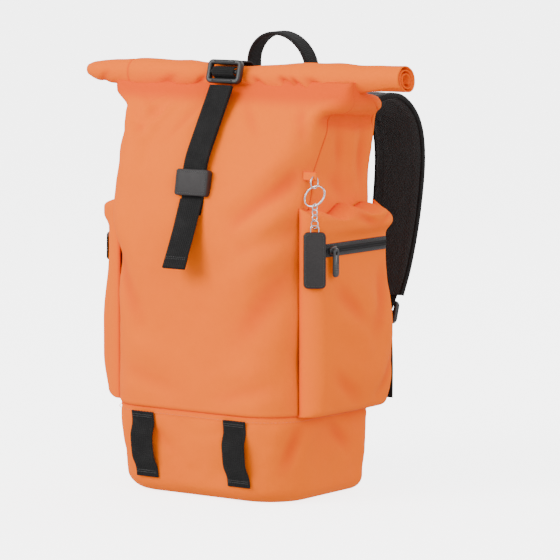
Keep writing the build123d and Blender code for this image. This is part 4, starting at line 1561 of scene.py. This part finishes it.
@dataclass
class ClosingStrap:
    """The strap from the back over the roll, its buckle, its run down the front, badge and loose end."""

    roll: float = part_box("rolled_collar")[0].z + 0.013
    mouth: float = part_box("front_panel")[1].z
    front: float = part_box("base_bucket")[0].y
    back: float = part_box("base_bucket")[1].y

    def build(self) -> None:
        """Makes every piece of the strap."""
        low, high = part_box("closure_rear_webbing")
        top = high.z - THICK / 2
        rear = [(0, self.back - 0.0058, low.z + 0.0004), (0, self.back - 0.0130, self.mouth - 0.0150),
                (0, 0.0104, self.mouth + 0.0009), (0, 0.0046, top), (0, low.y + 0.0006, top)]
        web("closing_strap_rear", rear, 0.009, "root", "closure_rear_webbing")
        anchor_low, anchor_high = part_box("closure_anchor_webbing")
        anchor = [(0, self.front + 0.0061, anchor_low.z), (0, self.front + 0.0050, anchor_low.z + 0.0095),
                  (0, self.front + 0.0128, anchor_low.z + 0.056),
                  (0, self.front + 0.0525, anchor_high.z - 0.0005)]
        web("closing_strap_anchor", anchor, 0.014, "root", "closure_anchor_webbing")
        back_low, back_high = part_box("closure_return_webbing")
        run = [(0, back_low.y + 0.0011, back_low.z), (0, self.front + 0.0106, back_low.z + 0.0288),
               (0, self.front + 0.0503, back_high.z - 0.0005)]
        web("closing_strap_return", run, 0.018, "root", "closure_return_webbing")
        self.badge()
        self.buckle()
        self.tail()

    def badge(self) -> None:
        """A plain leather keeper with a sewn border."""
        low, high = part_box("badge_keeper")
        centre = np.array((low + high) / 2)
        lean = math.radians(9.5)
        up = np.array([0.0, math.sin(lean), math.cos(lean)])
        out = np.array([0.0, -math.cos(lean), math.sin(lean)])
        half_depth = 0.0040
        rings = []
        for depth, inset in ((-1.0, 0.0010), (-0.75, 0.0), (0.72, 0.0), (0.93, 0.0004), (1.0, 0.0012),
                (0.94, 0.0021),
                (0.97, 0.0026)):
            loop = rounded_loop(0.036 - 2 * inset, 0.024 - 2 * inset, 0.0026 - inset * 0.5, 7)
            rings.append(centre + out * half_depth * depth + loop[:, :1] * ACROSS_X + loop[:, 1:] * up)
        count = len(rings[0])
        faces = grid_faces(len(rings), count, wrap=True)
        faces += [tuple(reversed(range(count))),
                  tuple((len(rings) - 1) * count + c for c in range(count))]
        points = np.vstack(rings)
        made = Skin(points, faces, points[:, [0, 2]], np.zeros(len(points))).build("badge_leather",
            LEATHER, True)
        fit_piece(made, "root", "charcoal_leather", "badge_keeper")
        loop = rounded_loop(0.0315, 0.0195, 0.0016, 4)
        line = centre + out * (half_depth + 0.0001) + loop[:, :1] * ACROSS_X + loop[:, 1:] * up
        stitches("badge_stitching", [np.vstack([line, line[:1]])], BLACK_THREAD, "root",
                 "charcoal_leather",
                 0.0022, 0.00022)

    def buckle(self) -> None:
        """The ladder lock on the roll with the webbing wrapped round its bars."""
        low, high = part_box("closure_buckle")
        lean = math.radians(15.0)
        up = np.array([0.0, math.sin(lean), math.cos(lean)])
        centre = np.array((low + high) / 2)
        made = LadderLock(centre, up).skin().build("closing_buckle", PLASTIC, outward=True)
        fit_piece(made, "closure_buckle", "black_plastic", "closure_buckle")
        out = np.array([0.0, -math.cos(lean), math.sin(lean)])
        wrap = [tuple(centre - up * 0.0085 - out * 0.0022), tuple(centre - up * 0.0046 - out * 0.0020),
                tuple(centre - up * 0.0034 + out * 0.0034), tuple(centre + up * 0.0030 + out * 0.0036),
                tuple(centre + up * 0.0046 - out * 0.0014)]
        skin = sweep(eased(wrap, 0.0022, 0.0008), ACROSS_X, band_section(WIDTH - 0.0006, 0.0014))
        made = skin.build("closing_buckle_wrap", WEBBING, outward=True)
        fit_piece(made, "closure_buckle", "black_webbing")

    def tail(self) -> None:
        """The loose end with its turned hem."""
        low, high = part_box("closure_tail")
        start = (0.0, high.y - 0.0008, high.z - 0.0004)
        end = (0.0, low.y + 0.0016, low.z + 0.0010)
        bow = (0.0, (start[1] + end[1]) / 2 + 0.0014, (start[2] + end[2]) / 2)
        web("closing_strap_tail", [start, bow, end], 0.030, "closure_tail", "closure_tail")
        a, b = np.array(start), np.array(end)
        way = (b - a) / np.linalg.norm(b - a)
        out = np.cross(way, ACROSS_X)
        out = out if out[1] > 0 else -out
        fold = [tuple(b + way * -0.0002), tuple(b - way * 0.0002 + out * 0.0013),
                tuple(b - way * 0.012 + out * 0.0013)]
        web_skin = sweep(eased(fold, 0.0008, 0.0008), ACROSS_X, band_section(WIDTH - 0.0003, 0.0014))
        made = web_skin.build("closing_strap_hem", WEBBING, outward=True)
        fit_piece(made, "closure_tail", "black_webbing")
        lines = []
        for offset, face in ((0.0102, -1), (0.0086, -1), (0.0102, 1), (0.0086, 1)):
            middle = b - way * offset + out * (0.00088 * -1 if face < 0 else 0.0021)
            lines.append(np.array([middle - ACROSS_X * 0.0105, middle + ACROSS_X * 0.0105]))
        stitches("closing_strap_hem_stitching", lines, BLACK_THREAD, "closure_tail", "black_webbing",
                 0.0020, 0.00026)


# ---- Back: pad, yoke, haul handle and shoulder straps ----
def soft_edge(xx: np.ndarray, zz: np.ndarray, low: Vector, high: Vector) -> tuple[np.ndarray, np.ndarray]:
    """Rounds the rim of a flat piece on the back panel.

    Args:
        xx: X of its points.
        zz: Z of its points.
        low: Its box's lowest corner.
        high: Its box's highest corner.

    Returns:
        Distance from the rim, and how far each point stands off.
    """
    edge = np.minimum(np.minimum(xx - low.x, high.x - xx), np.minimum(zz - low.z, high.z - zz))
    return edge, (high.y - low.y) * np.sqrt(np.clip(1 - (1 - np.clip(edge / 0.003, 0, 1)) ** 2, 0, 1))


def slab(x: np.ndarray, z: np.ndarray, wall: float, proud: np.ndarray) -> Skin:
    """A soft slab on the back panel, from a grid of how far it stands off that panel.

    Args:
        x: Columns across the panel.
        z: Rows up it.
        wall: Y of the panel.
        proud: How far each point stands off.

    Returns:
        The closed slab.
    """
    xx, zz = np.meshgrid(x, z)
    face = np.stack([xx, wall + proud, zz], axis=-1)
    rows, columns = xx.shape
    rear = np.stack([xx, np.full_like(xx, wall), zz], axis=-1)
    front_faces = [tuple(reversed(f)) for f in grid_faces(rows, columns)]
    back_faces = grid_faces(rows, columns, shift=rows * columns)
    cloth = np.stack([xx, zz], axis=-1).reshape(-1, 2)
    edge = np.concatenate([np.arange(columns), np.arange(1, rows) * columns + columns - 1,
            (rows - 1) * columns + np.arange(columns - 2, -1, -1),
            np.arange(rows - 2, 0, -1) * columns])
    size = rows * columns
    rim = [(int(a), int(b), int(b) + size, int(a) + size) for a, b in zip(edge, np.roll(edge, -1))]
    return Skin(np.vstack([face.reshape(-1, 3), rear.reshape(-1, 3)]), front_faces + back_faces + rim,
                np.vstack([cloth, cloth]), np.zeros(2 * size))


@dataclass
class BackPanelFittings:
    """Padded mesh panel, yoke, lower wings and their sewn lines."""

    wall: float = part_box("base_bucket")[1].y

    def build(self) -> None:
        """Makes the pad with its binding and channel stitching, the yoke and the wings."""
        low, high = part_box("back_pad")
        x = np.linspace(low.x, high.x, 76)
        z = np.linspace(low.z, high.z, 170)
        xx, zz = np.meshgrid(x, z)
        centre = np.array([(low.x + high.x) / 2, (low.z + high.z) / 2])
        half = np.array([(high.x - low.x) / 2, (high.z - low.z) / 2])
        corner = 0.016
        q = np.maximum(np.abs(np.stack([xx - centre[0], zz - centre[1]], axis=-1)) - (half - corner), 0.0)
        inside = corner - np.linalg.norm(q, axis=-1)
        edge = np.minimum(np.minimum(half[0] - np.abs(xx - centre[0]), half[1] - np.abs(zz - centre[1])),
                          inside)
        depth = high.y - self.wall
        crown = depth * np.sqrt(np.clip(1 - (1 - np.clip(edge / 0.009, 0, 1)) ** 2, 0, 1))
        channels = bump_at(np.abs(xx), 0.019, 0.0028) * ease(edge / 0.02)
        for level in (0.095, 0.160, 0.225):
            channels = np.maximum(channels,
                    bump_at(zz, level + 0.10 * np.abs(xx), 0.0028) * ease(edge / 0.012))
        proud = crown * (1 - 0.62 * channels) + 0.0004 * ripple(np.stack([xx, zz, zz], axis=-1), 0.03,
                6.6) * (edge > 0)
        skin = slab(x, z, self.wall + 0.0002, np.maximum(proud, 0.0))
        pull = np.stack([xx, zz], axis=-1) - centre
        over = np.clip(-inside, 0, None)[...,
                None] * pull / (np.linalg.norm(pull, axis=-1)[..., None] + 1e-9)
        flat = np.stack([over[..., 0], np.zeros_like(xx), over[..., 1]], axis=-1).reshape(-1, 3)
        skin.points = skin.points - np.vstack([flat, flat])
        made = skin.build("back_pad_mesh", MESH, outward=True)
        fit_piece(made, "root", "black_mesh", "back_pad")
        binding = rounded_loop(high.x - low.x - 0.003, high.z - low.z - 0.003, corner, 10)
        path = np.stack([centre[0] + binding[:, 0], np.full(len(binding), self.wall + 0.0016),
                         centre[1] + binding[:, 1]], axis=1)
        path = resample(np.vstack([path, path[:1]]), 240)[:-1]
        made = sweep(path, np.array([0.0, 1.0, 0.0]), round_section(0.0016, 0.0022, 12),
                     closed=True).build(
            "back_pad_binding", WEBBING, outward=True)
        fit_piece(made, "root", "black_webbing")
        lines = []
        for s in (-1, 1):
            lines.append(np.array([(s * 0.019, self.wall + depth * 0.38 + 0.0007, zz_) for zz_ in
                    np.linspace(low.z + 0.012, high.z - 0.012, 60)]))
        stitches("back_pad_channel_stitching", lines, BLACK_THREAD, "root", "black_mesh", 0.0036, 0.00030)
        self.yoke()
        for side in Side:
            self.wing(side)

    def yoke(self) -> None:
        """The reinforced strip that the straps and the handle are sewn to."""
        low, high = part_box("strap_yoke")
        x, z = np.linspace(low.x, high.x, 60), np.linspace(low.z, high.z, 18)
        xx, zz = np.meshgrid(x, z)
        edge, proud = soft_edge(xx, zz, low, high)
        proud -= 0.0006 * bump_at(edge, 0.0032, 0.0008)
        made = slab(x, z, self.wall + 0.0002, np.maximum(proud, 0.0)).build("yoke_webbing", WEBBING,
                outward=True)
        fit_piece(made, "root", "black_webbing", "strap_yoke")
        loop = rounded_loop(high.x - low.x - 0.0064, high.z - low.z - 0.0064, 0.003, 4)
        line = np.stack([loop[:, 0], np.full(len(loop), high.y - 0.0001),
                         (low.z + high.z) / 2 + loop[:, 1]], axis=1)
        stitches("yoke_stitching", [np.vstack([line, line[:1]])], BLACK_THREAD, "root", "black_webbing",
                 0.0034, 0.0003)

    def wing(self, side: Side) -> None:
        """A triangular wing with its webbing, which the strap's lower end comes from.

        Args:
            side: Which side it is on.
        """
        low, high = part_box("right_lower_wing")
        x, z = np.linspace(low.x, high.x, 20), np.linspace(low.z, high.z, 36)
        xx, zz = np.meshgrid(x, z)
        proud = soft_edge(xx, zz, low, high)[1]
        skin = slab(x, z, self.wall + 0.0002, proud)
        made = side.place(skin).build(side.name("lower_wing_mesh"), MESH, outward=True)
        fit_piece(made, "root", "black_mesh", side.name("lower_wing"))
        web_low, web_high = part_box("right_wing_webbing")
        middle = side.value * (web_low.x + web_high.x) / 2
        run = [(middle, self.wall + 0.0042, web_low.z), (middle, self.wall + 0.0042, web_low.z + 0.022),
               (middle, web_high.y - 0.0008, web_high.z - 0.0002)]
        web(side.name("wing_web"), run, 0.010, "root", side.name("wing_webbing"))
        at = np.array([middle, self.wall + 0.0053, web_low.z + 0.011])
        stitches(side.name("wing_stitching"),
                 box_stitch(at, ACROSS_X, np.array([0.0, 0.0, 1.0]), 0.019, 0.016),
                 BLACK_THREAD, "root", "black_webbing", 0.0021, 0.00028)


@dataclass
class HaulHandle:
    """Flat sewn feet that turn on edge into a loop of doubled webbing."""

    lean: float = math.radians(10.0)
    width: float = 0.020
    fold_z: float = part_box("haul_handle_ends")[1].z

    def build(self) -> None:
        """Makes the feet and the loop in one band that bends at the fold."""
        feet_low, feet_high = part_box("haul_handle_ends")
        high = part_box("haul_handle")[1]
        reach = high.x - 0.0015
        y = (feet_low.y + feet_high.y) / 2
        height = (high.z - self.fold_z) / math.cos(self.lean) - 0.0028
        plane = []
        plane.append((-reach, -0.036))
        plane.append((-reach, 0.0))
        for angle in np.linspace(math.pi, 0.0, 25):
            plane.append((reach * math.cos(angle), height - reach + reach * math.sin(angle)))
        plane += [(reach, 0.0), (reach, -0.036)]
        flat = resample(np.array(plane), 150)
        points, sides = [], []
        for u, v in flat:
            tilt = self.lean * float(ease((v + 0.004) / 0.01))
            points.append((u, y - max(v, 0.0) * math.sin(tilt),
                           self.fold_z + v * (math.cos(tilt) if v > 0 else 1.0)))
            twist = float(ease((v + 0.002) / 0.030))
            inward = -math.copysign(1.0, u)
            sides.append((inward * math.cos(twist * math.pi / 2), -math.sin(twist * math.pi / 2), 0.0))
        path, side = np.array(points), np.array(sides)
        top = np.abs(path[:, 0]) < 1e-3
        side[top] = (0.0, -1.0, 0.0)
        for i in range(len(side)):
            if flat[i, 1] > 0.032:
                side[i] = (0.0, -1.0, -math.sin(self.lean) * 0.1)
        sections = []
        for u, v in flat:
            fat = 1.0 + 0.12 * float(ease((v - 0.03) / 0.02))
            sections.append(band_section(self.width * (0.66 + 0.34 * float(ease(v / 0.03))),
                    0.0030 * fat))
        skin = sweep(path, side, np.array(sections))
        skin.points[:, 1] = np.where(skin.points[:, 2] < self.fold_z,
                np.clip(skin.points[:, 1], feet_low.y + 0.0002, 1),
                skin.points[:, 1])
        made = skin.build("haul_handle_web", WEBBING, outward=True)
        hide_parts("haul_handle", "haul_handle_ends")
        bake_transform(made)
        LOG.info("haul handle: %d faces", len(made.data.polygons))
        lines = []
        for s in (-1, 1):
            centre = np.array([s * 0.033, feet_high.y + 0.0002, feet_low.z + 0.012])
            lines += box_stitch(centre, ACROSS_X, np.array([0.0, 0.0, 1.0]), 0.0085, 0.016)
        stitches("haul_handle_stitching", lines, BLACK_THREAD, "root", "black_webbing", 0.0020, 0.00028)


@dataclass
class ShoulderStrap:
    """A padded strap with a bound edge, its webbing, its adjuster and the loose end."""

    side: Side
    thick: float = 0.0092
    wall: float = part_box("base_bucket")[1].y
    fold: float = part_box("haul_handle_ends")[1].z - 0.008

    def line(self) -> np.ndarray:
        """Rows of X, Y, Z and width from the sewn root to the lower tip.

        Returns:
            Samples from root to tip.
        """
        w, f = self.wall, self.fold
        return np.array([(0.060, w + 0.0072, f - 0.034, 0.040), (0.060, w + 0.0074, f - 0.016, 0.040),
                         (0.060, w + 0.0082, f + 0.004, 0.040), (0.0615, w + 0.0150, f + 0.0165, 0.042),
                         (0.068, w + 0.029, f + 0.0275, 0.048), (0.076, w + 0.047, f + 0.0245, 0.052),
                         (0.083, w + 0.060, f + 0.004, 0.054), (0.086, w + 0.0628, f - 0.030, 0.054),
                         (0.086, w + 0.057, f - 0.080, 0.052), (0.086, w + 0.048, f - 0.125, 0.046),
                         (0.086, w + 0.040, f - 0.155, 0.038)])

    def pad(self) -> tuple[Skin, np.ndarray, np.ndarray, np.ndarray]:
        """The padded body, with its centre line, widths and side vectors.

        Returns:
            The skin, centre line, widths and side vectors.
        """
        rows = spline(self.line(), 150)
        path, widths = rows[:, :3], rows[:, 3]
        run = np.gradient(path, axis=0)
        run /= np.linalg.norm(run, axis=1)[:, None]
        side = ACROSS_X - run * run[:, :1]
        side /= np.linalg.norm(side, axis=1)[:, None]
        length = np.concatenate([[0.0], np.cumsum(np.linalg.norm(np.diff(path, axis=0), axis=1))])
        sections = []
        for i, width in enumerate(widths):
            start, end = length[i], length[-1] - length[i]
            tall = (0.62 + 0.38 * float(ease((start - 0.02) / 0.05))) * (0.62 + 0.38 * float(ease(end
                / 0.02)))
            angle = np.linspace(0, 2 * math.pi, 44, endpoint=False)
            c, s = np.cos(angle), np.sin(angle)
            u = np.sign(c) * np.abs(c) ** 0.55
            pinch = 1.0 - 0.30 * bump_at(np.abs(u), 0.62, 0.10)
            v = np.sign(s) * np.abs(s) ** 0.75 * pinch
            sections.append(np.stack([u * (width / 2 - 0.0012), v * self.thick / 2 * tall], axis=1))
        skin = sweep(path, side, np.array(sections))
        skin.points += 0.0005 * ripple(skin.points, 0.022, 3.7)[:, None]
        return skin, path, widths, side

    def build(self) -> None:
        """Makes the strap's pieces, and attaches its webbing, adjuster, loose end and root stitching."""
        name, place, sign = self.side.name, self.side.place, self.side.value
        skin, path, widths, side = self.pad()
        strap = name("strap")
        made = place(skin).build(name("shoulder_strap_mesh"), MESH, outward=True)
        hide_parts(name("shoulder_strap"), name("strap_root"))
        start, end = (sign * 0.060, self.wall + 0.0055, self.fold + 0.004), (sign * 0.062,
                self.wall + 0.016,
                self.fold + 0.018)
        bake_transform(made)
        LOG.info("%s: %d faces", made.name, len(made.data.polygons))
        for edge, label in ((-1, "inner"), (1, "outer")):
            line = path + edge * side * (widths / 2 - 0.0012)[:, None]
            bound = sweep(line, side, round_section(0.0019, 0.0026, 12, 0.8))
            made = place(bound).build(name(f"strap_binding_{label}"), WEBBING, outward=True)
            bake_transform(made)
        top = np.array([0.0854, self.wall + 0.0391, self.fold - 0.1588])
        bottom = np.array([0.069, self.wall + 0.015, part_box("right_wing_webbing")[1].z + 0.003])
        run = [(sign * p[0], p[1], p[2]) for p in (top + (top - bottom) * 0.10, top, bottom)]
        way = (bottom - top) / np.linalg.norm(bottom - top)
        web(name("strap_web"), run, 0.004, strap, name("strap_webbing"))
        out = np.array([0.0, -way[2], way[1]])
        out /= np.linalg.norm(out)
        box_low, box_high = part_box(name("strap_adjuster"))
        centre = np.array((box_low + box_high) / 2)
        up = np.array([sign * -way[0], -way[1], -way[2]])
        lock = LadderLock(centre, up - np.array([up[0], 0.0, 0.0]), 0.034, 0.022, 0.005)
        made = lock.skin().build(name("strap_adjuster_frame"), PLASTIC, outward=True)
        fit_piece(made, name("adjuster"), "black_plastic", name("strap_adjuster"))
        tail_low, tail_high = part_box(name("strap_tail"))
        middle = (tail_low.x + tail_high.x) / 2
        run = [(middle, tail_low.y + 0.0010, tail_high.z - 0.0003),
               (middle, tail_low.y + 0.0034, tail_high.z - 0.035),
               (middle, tail_high.y - 0.0010, tail_low.z + 0.0003)]
        web(name("strap_loose_end"), run, 0.02, name("strap_tail"), name("strap_tail"))
        root_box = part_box(name("strap_root"))
        at = np.array([(root_box[0].x + root_box[1].x) / 2, self.wall + 0.0108, root_box[0].z + 0.014])
        stitches(name("strap_root_stitching"),
                 box_stitch(at, ACROSS_X, np.array([0.0, 0.0, 1.0]), 0.028, 0.018),
                 BLACK_THREAD, "root", "black_mesh", 0.0028, 0.00034)


# ---- Key loop, rings and charm ----
@dataclass
class KeyHold:
    """A cloth tab in the seam, plated rings and chain, and a plain leather charm."""

    eye: Vector = field(default_factory=lambda: (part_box("small_ring")[0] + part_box("small_ring")[1]) / 2)

    def build(self) -> None:
        """Makes the tab and charm, and plates the wire."""
        low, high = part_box("key_loop_tab")
        y, z = (low.y + high.y) / 2, (low.z + high.z) / 2
        tip = high.x - 0.0018
        fold = eased([(low.x, y - 0.0012, z), (tip - 0.003, y - 0.0014, z), (tip + 0.0012, y - 0.0012, z),
                      (tip + 0.0012, y + 0.0012, z), (tip - 0.003, y + 0.0014, z),
                      (low.x, y + 0.0012, z)], 0.0016, 0.0006)
        made = sweep(fold, np.array([0.0, 0.0, 1.0]), band_section(high.z - low.z, 0.0009, 9)).build(
            "key_tab_cloth", ORANGE, outward=True)
        fit_piece(made, "root", "orange_polyester", "key_loop_tab")
        for node in ("small_ring", "key_ring", "key_chain", "charm_link"):
            dress(node, WIRE)
        self.charm()

    def charm(self) -> None:
        """The leather charm: two layers, a border stitch and a wire staple."""
        low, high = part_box("key_charm")
        centre = np.array([(low.x + high.x) / 2, (low.y + high.y) / 2, 0.0])
        turn = math.radians(-53.0)
        out = np.array([math.cos(turn), math.sin(turn), 0.0])
        u = np.array([-math.sin(turn), math.cos(turn), 0.0])
        up = np.array([0.0, 0.0, 1.0])
        top, bottom = high.z - 0.0068, low.z
        middle = centre + up * (top + bottom) / 2
        rings = []
        for depth, inset in ((-1.0, 0.0011), (-0.72, 0.0), (-0.08, 0.0001), (0.0, 0.0006), (0.08, 0.0001),
                (0.72, 0.0),
                (1.0, 0.0011), (0.93, 0.0020), (0.97, 0.0026)):
            loop = rounded_loop(0.0200 - 2 * inset, top - bottom - 2 * inset, 0.0042 - inset * 0.5, 8)
            rings.append(middle + out * 0.0029 * depth + loop[:, :1] * u + loop[:, 1:] * up)
        count = len(rings[0])
        faces = grid_faces(len(rings), count, wrap=True)
        faces += [tuple(reversed(range(count))),
                  tuple((len(rings) - 1) * count + c for c in range(count))]
        points = np.vstack(rings)
        made = Skin(points, faces, points[:, 1:], np.zeros(len(points))).build("charm_leather", LEATHER,
                True)
        fit_piece(made, "key_charm", "charcoal_leather", "key_charm")
        arch = eased([tuple(middle * [1, 1, 0] + s * u * 0.0036 + up * z) for s, z in
                      ((-1, top - 0.002), (-1, top + 0.0058), (1, top + 0.0058), (1, top - 0.002))],
                     0.003, 0.0005)
        made = sweep(arch, out, round_section(0.0006, 0.0006, 12)).build("charm_staple", WIRE,
                outward=True)
        fit_piece(made, "key_charm", "silver_wire")
        loop = rounded_loop(0.0158, top - bottom - 0.0042, 0.0026, 5)
        line = middle + out * 0.00295 + loop[:, :1] * u + loop[:, 1:] * up
        stitches("charm_stitching", [np.vstack([line, line[:1]])], BLACK_THREAD, "key_charm",
                 "charcoal_leather",
                 0.0022, 0.00022)


def dress(node: str, finish: Finish) -> None:
    """Gives a solid that stays a better material."""
    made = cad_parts[node]
    made.data.materials.clear()
    made.data.materials.append(finish.material())
    LOG.info("%s: %s", node, finish.name)


def sew_body(body: BagBody) -> None:
    """Topstitches the lower section's seam all round.

    Args:
        body: The panels whose seam is sewn.
    """
    ring = body.ring(body.levels()[0])
    loop = np.vstack([ring, ring[:1]])
    run = resample(loop[:, :2], 420)
    middle = run.mean(axis=0)
    way = run - middle
    out = run + way / np.linalg.norm(way, axis=1)[:, None] * 0.0006
    line = np.stack([out[:, 0], out[:, 1], np.full(len(out), body.seam - 0.0042)], axis=1)
    stitches("lower_seam_stitching", [line], ORANGE_THREAD, "root", "orange_polyester", 0.0034, 0.00034)


# ---- Camera, lights and floor ----
@dataclass
class Studio:
    """Camera, soft lights and a plain pale floor."""

    azimuth: float = 36.0
    elevation: float = 6.4
    distance: float = 3.4
    lens: float = 238.0
    target: tuple[float, float, float] = (0.0292, 0.0212, 0.1925)
    ambient: float = 1.05
    backdrop: float = 4.0
    floor_glow: float = 4.0
    lamps: tuple[tuple[str, tuple[float, float, float], float, float], ...] = (
        ("key", (-1.1, -2.2, 1.5), 1.6, 80.0),
        ("fill", (2.2, -0.9, 1.1), 1.5, 26.0),
        ("back_rim", (0.6, 2.1, 1.7), 1.2, 18.0))

    def build(self) -> None:
        """Makes them all."""
        a, e = math.radians(self.azimuth), math.radians(self.elevation)
        back = Vector((math.sin(a) * math.cos(e), -math.cos(a) * math.cos(e), math.sin(e)))
        data = bpy.data.cameras.new("camera")
        data.lens, data.sensor_width = self.lens, 36.0
        data.clip_start, data.clip_end = 0.05, 50.0
        camera = bpy.data.objects.new("camera", data)
        camera.location = Vector(self.target) + back * self.distance
        camera.rotation_mode = "QUATERNION"
        camera.rotation_quaternion = (-back).to_track_quat("-Z", "Y")
        bpy.context.scene.collection.objects.link(camera)
        bpy.context.scene.camera = camera
        for name, place, size, power in self.lamps:
            self.light(name, place, size, power)
        world = bpy.data.worlds.new("pale_room")
        world.use_nodes = True
        nodes, links = world.node_tree.nodes, world.node_tree.links
        room = nodes["Background"]
        room.inputs[0].default_value, room.inputs[1].default_value = (0.96, 0.965, 0.975,
                1.0), self.ambient
        seen, rays, choice = (nodes.new("ShaderNode" + kind) for kind in ("Background", "LightPath",
                "MixShader"))
        seen.inputs[0].default_value, seen.inputs[1].default_value = (1.0, 1.0, 1.0, 1.0), self.backdrop
        links.new(rays.outputs["Is Camera Ray"], choice.inputs[0])
        links.new(room.outputs[0], choice.inputs[1])
        links.new(seen.outputs[0], choice.inputs[2])
        links.new(choice.outputs[0], nodes["World Output"].inputs[0])
        bpy.context.scene.world = world
        self.floor()

    @staticmethod
    def light(name: str, place: tuple[float, float, float], size: float, power: float) -> None:
        """Adds a square soft light aimed at the bag.

        Args:
            name: Its name.
            place: Where it stands.
            size: Its side, in metres.
            power: Its power, in watts.
        """
        data = bpy.data.lights.new(name, "AREA")
        data.size, data.energy = size, power
        made = bpy.data.objects.new(name, data)
        made.location = place
        made.rotation_mode = "QUATERNION"
        made.rotation_quaternion = (Vector((0.0, 0.0, 0.2)) - Vector(place)).to_track_quat("-Z", "Y")
        bpy.context.scene.collection.objects.link(made)

    def floor(self) -> None:
        """A matt off-white floor with faint mottling, whose glow leaves the bag alone."""
        reach = 14.0
        mesh = bpy.data.meshes.new("floor")
        mesh.from_pydata([(-reach, -reach, -0.0005), (reach, -reach, -0.0005), (reach, reach, -0.0005),
                          (-reach, reach, -0.0005)], [], [(0, 1, 2, 3)])
        made = bpy.data.objects.new("floor", mesh)
        bpy.context.scene.collection.objects.link(made)
        painter = Painter("pale_floor")
        tint = painter.noise(1.5, 2.0, 0.5)
        painter.set(Base_Color=painter.mix(tint, (0.90, 0.90, 0.90), (0.94, 0.94, 0.94)),
                    Roughness=tint * 0.1 + 0.7,
                    Emission_Color=(1.0, 1.0, 1.0), Emission_Strength=self.floor_glow)
        mesh.materials.append(painter.material)
        made.visible_diffuse = made.visible_glossy = False


def main() -> None:
    """Builds the daypack in order."""
    logging.basicConfig(level=logging.INFO, format="%(name)s %(message)s")
    Studio().build()
    body = BagBody()
    body.build()
    LowerSection(body).build()
    RolledCollar().build()
    for side in Side:
        SidePocket(side).build()
    GearLoops().build()
    ClosingStrap().build()
    BackPanelFittings().build()
    HaulHandle().build()
    for side in Side:
        ShoulderStrap(side).build()
    KeyHold().build()
    sew_body(body)


if __name__ == "__main__":
    main()
